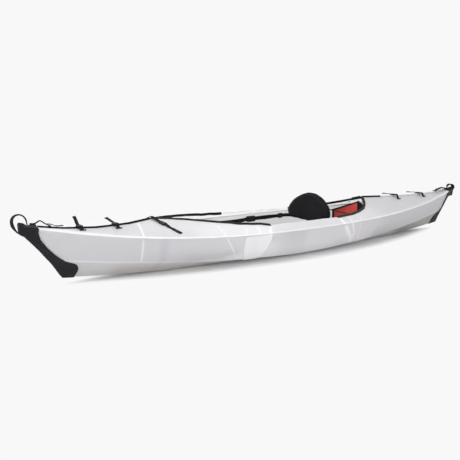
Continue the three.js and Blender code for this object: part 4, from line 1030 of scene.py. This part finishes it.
made = bmesh.new()
rows = []
for depth, inset in rest_section:
    rows.append([made.verts.new(place) for place in rest_ring(outline, depth, inset + rest_shrink)])
for low, high in zip(rows, rows[1:]):
    for index in range(len(outline)):
        after = (index + 1) % len(outline)
        made.faces.new((low[index], low[after], high[after], high[index]))
for row, depth in ((rows[0], -0.84), (rows[-1], 0.84)):
    hub = made.verts.new(rest_point(0, 0.45, depth * rest_half_depth))
    for index in range(len(outline)):
        made.faces.new((hub, row[index], row[(index + 1) % len(outline)]))
backrest = piece("backrest_cushion", made, pad_cloth, 180)
inflate(backrest, voxel=0.005, pressure=4.0, cap=0.007)
stand_for(backrest, "backrest", "padded_fabric", "backrest_pad")
closed = [*outline, outline[0]]
piping_loops = [rest_ring(closed, depth, 0.003) for depth in (-0.80, 0.80)]
seam_rows = [rest_ring(closed, depth, 0.016) for depth in (-1.6, 1.6)]
sewn_edge("backrest_cushion", backrest, piping_loops, rest_piping, "backrest", seam_rows)


# Seat pad: crowned cushion on the floorboard with a sewn rim, and channels across it
seat_shrink = 0.003
seat_piping = 0.0028
seat_corner = 0.35
made = welded("seat_pad", 0.0001)
densify(made, 0.03)
made.normal_update()
for vert in made.verts:
    vert.co -= vert.normal * seat_shrink
seat = mesh_object("seat_cushion", mesh_from("seat_cushion", made), pad_cloth)
inflate(seat, voxel=0.006, pressure=3.0, cap=0.006)
stand_for(seat, "hull", "padded_fabric", "seat_pad")
(seat_start, _, _), (seat_end, seat_side, seat_top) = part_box("seat_pad")
seat_middle = (seat_start + seat_end) / 2
seat_reach = (seat_end - seat_start) / 2
seat_rim = []
seat_inset = []
for step in range(49):
    out_x, out_y = squarish(math.tau * step / 48, seat_corner)
    seat_rim.append((seat_middle + out_x * seat_reach, out_y * seat_side, seat_top * 0.80))
    seat_inset.append((seat_middle + out_x * seat_reach * 0.86, out_y * seat_side * 0.88, seat_top * 1.2))
seat_channels = []
for share in (0.36, 0.64):
    x = seat_start + (seat_end - seat_start) * share
    seat_channels.append([(x, seat_side * 0.82 * across / 12, seat_top * 1.2) for across in range(-12, 13)])
sewn_edge("seat_cushion", seat, [seat_rim], seat_piping, "hull", [seat_inset, *seat_channels])


# Fabric caps: cloth a little proud of the hull, a rolled hem round the opening, a piped seam down the stem
hem_radius = 0.0016
hem_inset = 0.0022
row_inset = 0.011
stem_radius = 0.0017
cloth_wave = 0.0009
cloth_grip = 0.002
ridge_half = 0.012
ridge_spread = 0.2
stem_foot = 0.050
stem_top = 0.045


def cap_skin(name, end):
    """The cap's solid with slight wrinkles where it stands off the hull, and a filled top."""
    made = welded(name)
    densify(made, 0.012)
    made.normal_update()
    skin_tree = tree_of("hull_sheet", "deck_port", "deck_starboard")
    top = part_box(name)[1][2] - 0.09
    for vert in made.verts:
        out = vert.co - skin_tree.find_nearest(vert.co)[0]
        if out.length > cloth_grip:
            wave = noise.noise(vert.co * 22) + 0.5 * noise.noise(vert.co * 61)
            vert.co += out.normalized() * (cloth_wave * wave)
        setback = half_sheet - abs(vert.co.x)
        if vert.normal.z > 0.2 and vert.co.z > top:
            half_width = ridge_half + ridge_spread * setback
            vert.co.z += cap_rise(setback, end) * max(0, 1 - (vert.co.y / half_width) ** 2)
    return piece(f"{name}_cloth", made, cap_cloth, 32)


def fabric_cap(name, end, rake, chine, shares):
    """A cap with its hems; shares are the opening's places, of the rake and of the chine's height."""
    obj = cap_skin(name, end)
    stand_for(obj, "hull", "cap_fabric", name)
    tree = tree_on(obj)
    hem = bmesh.new()
    sew = bmesh.new()
    for side, inset in ((1, hem_inset), (1, row_inset), (-1, hem_inset), (-1, row_inset)):
        found = []
        for share, level in shares:
            x = end * (half_sheet - share * rake + inset)
            z = level * chine - (inset * 0.5 if share * rake > 0.12 else 0)
            found.append(tree.ray_cast(Vector((x, side, z)), Vector((0, -side, 0)))[:2])
        found = [pair for pair in found if pair[0] is not None]
        x = end * (half_sheet - shares[0][0] * rake + inset)
        for across in (0.85, 0.5, 0.2):
            y = side * max(web_width * 0.55, across * abs(found[0][0].y))
            found.insert(0, tree.ray_cast(Vector((x, y, 1)), down)[:2])
        if inset == hem_inset:
            tube(hem, [hit for hit, _ in found], hem_radius, 8, 0.008)
        else:
            stitches(sew, [hit + normal * 0.0001 for hit, normal in found], [normal for _, normal in found])
    heights = [stem_foot + (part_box(name)[1][2] - stem_top - stem_foot) * step / 21 for step in range(22)]
    seam = [tree.ray_cast(Vector((end * 2.2, 0, z)), Vector((-end, 0, 0)))[0] for z in heights]
    tube(hem, [hit for hit in seam if hit is not None], stem_radius, 8, 0.008)
    stand_for(piece(f"{name}_hem", hem, cap_cloth), "hull", "cap_fabric")
    threads(f"{name}_thread", sew, "hull", "cap_fabric")


bow_hem = [(0.4, 0.94), (0.4, 0.873), (0.444, 0.779), (0.52, 0.704), (0.619, 0.619), (0.749, 0.533),
           (0.888, 0.453), (1.004, 0.403), (1.117, 0.373), (1.224, 0.351), (1.29, 0.322), (1.332, 0.27),
           (1.332, 0.22), (1.305, 0.16), (1.26, 0.125)]
stern_hem = [(0.44, 0.97), (0.58, 0.93), (0.68, 0.755), (0.83, 0.61), (1.0, 0.52), (1.27, 0.4),
             (1.38, 0.32), (1.42, 0.2), (1.42, 0.14)]
fabric_cap("bow_cap", 1, 0.223, bow_chine, bow_hem)
fabric_cap("stern_cap", -1, 0.205, stern_chine, stern_hem)


# Backrest straps inside the hull: fixed front part, and rear parts that run past the clip to the backrest
side_web = 0.025
strap_y = 0.244
strap_z = 0.204
front_path = [(0.160, strap_y, strap_z), (0.176, strap_y, strap_z), (0.2069, 0.2515, 0.198),
              (0.283, 0.2787, 0.190), (0.345, 0.3010, 0.187), (0.392, 0.3165, 0.188)]
clip_path = [(x, strap_y, strap_z) for x in (0.104, 0.05, 0.0, -0.05, -0.1, -0.138)]
under_path = [(0.100, strap_y - 0.002, strap_z), (0.06, strap_y - 0.0024, strap_z),
              (0.012, strap_y - 0.003, strap_z - 0.002), (-0.004, strap_y - 0.007, strap_z - 0.004)]
rest_path = [(-0.139, strap_y, strap_z), (-0.160, strap_y, strap_z), (-0.184, strap_y, strap_z),
             (-0.196, 0.2405, strap_z), (-0.208, 0.231, strap_z), (-0.222, 0.218, strap_z)]
rest_tree = tree_on(backrest)


def on_side(side, points):
    return [(x, side * y, z) for x, y, z in points]


def leaning(side, tilt, power):
    """Upright webbing that leans onto the wall towards its end."""
    x, y, z = tilt
    return lambda share: Vector((0, 0, 1)).lerp(Vector((x * side, y * side, z)), share ** power)


for side, word in ((1, "port"), (-1, "starboard")):
    name = f"backrest_{word}"
    made = bmesh.new()
    band(made, on_side(side, front_path), leaning(side, (-0.1, 0.70, 0.71), 3),
         lambda share: side_web + 0.004 * min(share * 4, 1), web_thick)
    doubled = [(x + 0.001, y - web_thick * 1.05, z) for x, y, z in front_path[1:4]]
    band(made, on_side(side, doubled), (0, 0, 1), side_web * 0.96, doubled_thick)
    webbing(f"{name}_front_band", made, f"{name}_strap_front")
    sew = bmesh.new()
    for face in (-1, 1):
        centre = Vector((0.226, side * (0.2555 + face * 0.0021), 0.1895))
        run = Vector((0.97, side * 0.22, -0.12)).normalized()
        box_stitches(sew, centre, run, Vector((0, 0, 1)), Vector((0, face * side, 0)), 0.018, 0.016)
    threads(f"{name}_front_thread", sew)

    made = bmesh.new()
    band(made, on_side(side, clip_path), (0, 0, 1),
         lambda share: side_web + 0.004 * max(0, math.sin(math.pi * min(share / 0.76, 1))) ** 0.5, web_thick)
    band(made, on_side(side, under_path), (0, 0.05, 1), side_web * 0.98, web_thick)
    ends = on_side(side, [(-0.138, strap_y, strap_z), (0.09, strap_y, strap_z)])
    spanning_webbing(f"{name}_clip_band", made, f"{name}_clip", *ends)

    made = bmesh.new()
    path = on_side(side, rest_path)
    for across in (0.188, 0.166, 0.145):
        hit = rest_tree.ray_cast(Vector((-0.4, side * across, strap_z)), Vector((1, 0, 0)))[0]
        if hit is not None:
            path.append((hit.x - 0.0016, side * across, strap_z))
    band(made, path, (0, 0, 1), side_web, web_thick)
    ends = on_side(side, [(-0.190, 0.2425, strap_z), (-0.222, 0.212, strap_z)])
    spanning_webbing(f"{name}_rest_band", made, "backrest", *ends, f"{name}_strap_rear")


# Foot straps: from the foot brace's plate out to the hull wall, which they lie along
wall_tree = tree_of("hull_sheet")
for side, word in ((1, "port"), (-1, "starboard")):
    low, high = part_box(f"foot_strap_{word}")
    inner = side * min(abs(low[1]), abs(high[1]))
    height = (low[2] + high[2]) / 2
    plate = Vector((high[0], inner, height))
    path = [plate]
    for x, share in ((0.74, 0.36), (0.63, 0.70), (0.56, 1.0)):
        z = height + 0.006 * share
        hit = wall_tree.ray_cast(Vector((x, 0, z)), Vector((0, side, 0)))[0]
        straight = plate.y + side * 0.287 * (plate.x - x)
        inner_face = hit.y - side * (0.0018 + 0.014 * (1 - share))
        y = side * min(side * straight, side * inner_face)
        path.append(Vector((x, y, z)))
    made = bmesh.new()
    band(made, path, leaning(side, (0.08, 0.66, 0.75), 2), high[2] - low[2], web_thick)
    spanning_webbing(f"foot_{word}_band", made, "foot_brace", path[-1], plate, f"foot_strap_{word}")


# Bulkhead: cloth panel, sewn binding, and a broad band of black webbing cloth over the fold, a dark sheet
# that paints the shade there
painted_shade_cover_width = 0.055
ripple = 0.0012


def cloth_copy(name, node, material, slot):
    made = welded(node)
    for across in (0, painted_shade_cover_width):
        parts = [*made.verts, *made.edges, *made.faces]
        bmesh.ops.bisect_plane(made, geom=parts, plane_co=(0, across, 0), plane_no=(0, 1, 0))
    bmesh.ops.triangulate(made, faces=made.faces)
    bmesh.ops.remove_doubles(made, verts=made.verts, dist=0.0002)
    bmesh.ops.dissolve_degenerate(made, edges=made.edges, dist=0.0002)
    densify(made, 0.02)
    for vert in made.verts:
        vert.co.x += ripple * noise.noise(Vector((0, vert.co.y, vert.co.z)) * 16)
    obj = piece(name, made, material)
    stand_for(obj, "hull", slot, node)
    return obj


panel = cloth_copy("bulkhead_cloth", "bulkhead_panel", red_cloth, "red_fabric")
# Painted shade: the port half beside the fold takes black webbing cloth in place of the shade on the red
# panel
panel.data.materials.append(webbing_black)
for polygon in panel.data.polygons:
    if 0 < polygon.center.y < painted_shade_cover_width:
        polygon.material_index = 1
cloth_copy("bulkhead_edging", "bulkhead_binding", webbing_black, "black_webbing")


# Elastic cord: a V from two hooks on the bulkhead round the back of the backrest
cord_radius = 0.0023
cord_top = 0.2955
cord_low, cord_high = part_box("backrest_bungee")
hook_x = cord_low[0] + 0.003
turn_x = cord_high[0] - 0.004
cord_points = [(hook_x, 0.110, 0.190), (hook_x * 0.72 + turn_x * 0.28, 0.082, 0.219),
               (hook_x * 0.4 + turn_x * 0.6, 0.046, 0.252), (turn_x - 0.05, 0.014, 0.2885)]
cord_path = [*cord_points, (turn_x, 0, cord_top), *on_side(-1, reversed(cord_points))]
made = bmesh.new()
tube(made, cord_path, cord_radius, 10, 0.003)
cord = piece("backrest_cord", made, cord_black)
cord_ends = [(turn_x - 0.055, 0, cord_top), (turn_x - 0.004, 0, cord_top)]
span_joint(cord, "black_cord", "backrest", *cord_ends, "backrest_bungee")


# Floor, world and lamps
floor_level = -0.0004
floor_radius = 9.0
background = 0.939
shadow_length = 1.36
shadow_half_width = 0.24
shadow_edge = 0.12
shadow_share = 0.93


def shown(tree):
    """1 for what the camera sees, straight or through gloss and glass."""
    rays = add_node(tree, "ShaderNodeLightPath").outputs
    seen = maths(tree, "MAXIMUM", rays["Is Camera Ray"], rays["Is Glossy Ray"])
    return maths(tree, "MAXIMUM", seen, rays["Is Transmission Ray"])


def studio_floor():
    """Pale floor that shows its own shading only near the hull, where the contact shadow is."""
    turns = [math.tau * step / 64 for step in range(64)]
    corners = [(floor_radius * math.cos(turn), floor_radius * math.sin(turn), floor_level) for turn in turns]
    mesh = bpy.data.meshes.new("floor")
    mesh.from_pydata(corners, [], [list(range(64))])
    material, tree, shader = new_material("floor", (0.86, 0.86, 0.865), 0.9, Specular_IOR_Level=0.1)
    floor = mesh_object("floor", mesh, material)
    x, y, _ = add_node(tree, "ShaderNodeSeparateXYZ", {0: place_of(tree)}).outputs
    lengthwise = maths(tree, "POWER", maths(tree, "DIVIDE", maths(tree, "ABSOLUTE", x), shadow_length), 2.0)
    foot_edge = maths(tree, "MULTIPLY_ADD", lengthwise, -shadow_half_width, shadow_half_width)
    outside = maths(tree, "SUBTRACT", maths(tree, "ABSOLUTE", y), foot_edge)
    near = maths(tree, "MULTIPLY", ramp_down(tree, outside, 0.0, shadow_edge), shadow_share)
    flat_share = maths(tree, "MULTIPLY", shown(tree), maths(tree, "SUBTRACT", 1.0, near))
    plain = add_node(tree, "ShaderNodeEmission", {"Color": (1, 1, 1, 1), "Strength": background})
    values = {0: flat_share, 1: shader.outputs[0], 2: plain.outputs[0]}
    blend = add_node(tree, "ShaderNodeMixShader", values)
    tree.links.new(blend.outputs[0], tree.nodes["Material Output"].inputs["Surface"])


def studio_world():
    """Soft light, a little stronger from ahead and to port, behind an even pale background."""
    world = bpy.data.worlds.new("studio")
    scene.world = world
    world.use_nodes = True
    tree = world.node_tree
    tree.nodes.clear()
    way = add_node(tree, "ShaderNodeTexCoord").outputs["Generated"]
    x, y, _ = add_node(tree, "ShaderNodeSeparateXYZ", {0: way}).outputs
    level = maths(tree, "MULTIPLY_ADD", x, 0.20, maths(tree, "MULTIPLY_ADD", y, 0.22, 0.60))
    light = add_node(tree, "ShaderNodeBackground", {"Color": (1, 1, 1, 1), "Strength": level})
    plain = add_node(tree, "ShaderNodeBackground", {"Color": (1, 1, 1, 1), "Strength": background})
    values = {0: shown(tree), 1: light.outputs[0], 2: plain.outputs[0]}
    sky = add_node(tree, "ShaderNodeMixShader", values)
    add_node(tree, "ShaderNodeOutputWorld", {0: sky.outputs[0]})


def area_lamp(name, place, target, size, power):
    data = bpy.data.lights.new(name, "AREA")
    data.shape = "RECTANGLE"
    data.size, data.size_y = size
    data.energy = power
    lamp = bpy.data.objects.new(name, data)
    scene.collection.objects.link(lamp)
    lamp.location = place
    lamp.rotation_euler = (Vector(target) - Vector(place)).to_track_quat("-Z", "Y").to_euler()


studio_floor()
studio_world()
area_lamp("top", (1.0, 0.2, 3.2), (0, 0, 0), (3.0, 2.2), 74)
area_lamp("front", (3.6, 3.2, 1.3), (1.2, 0, 0.15), (2.0, 2.0), 30)
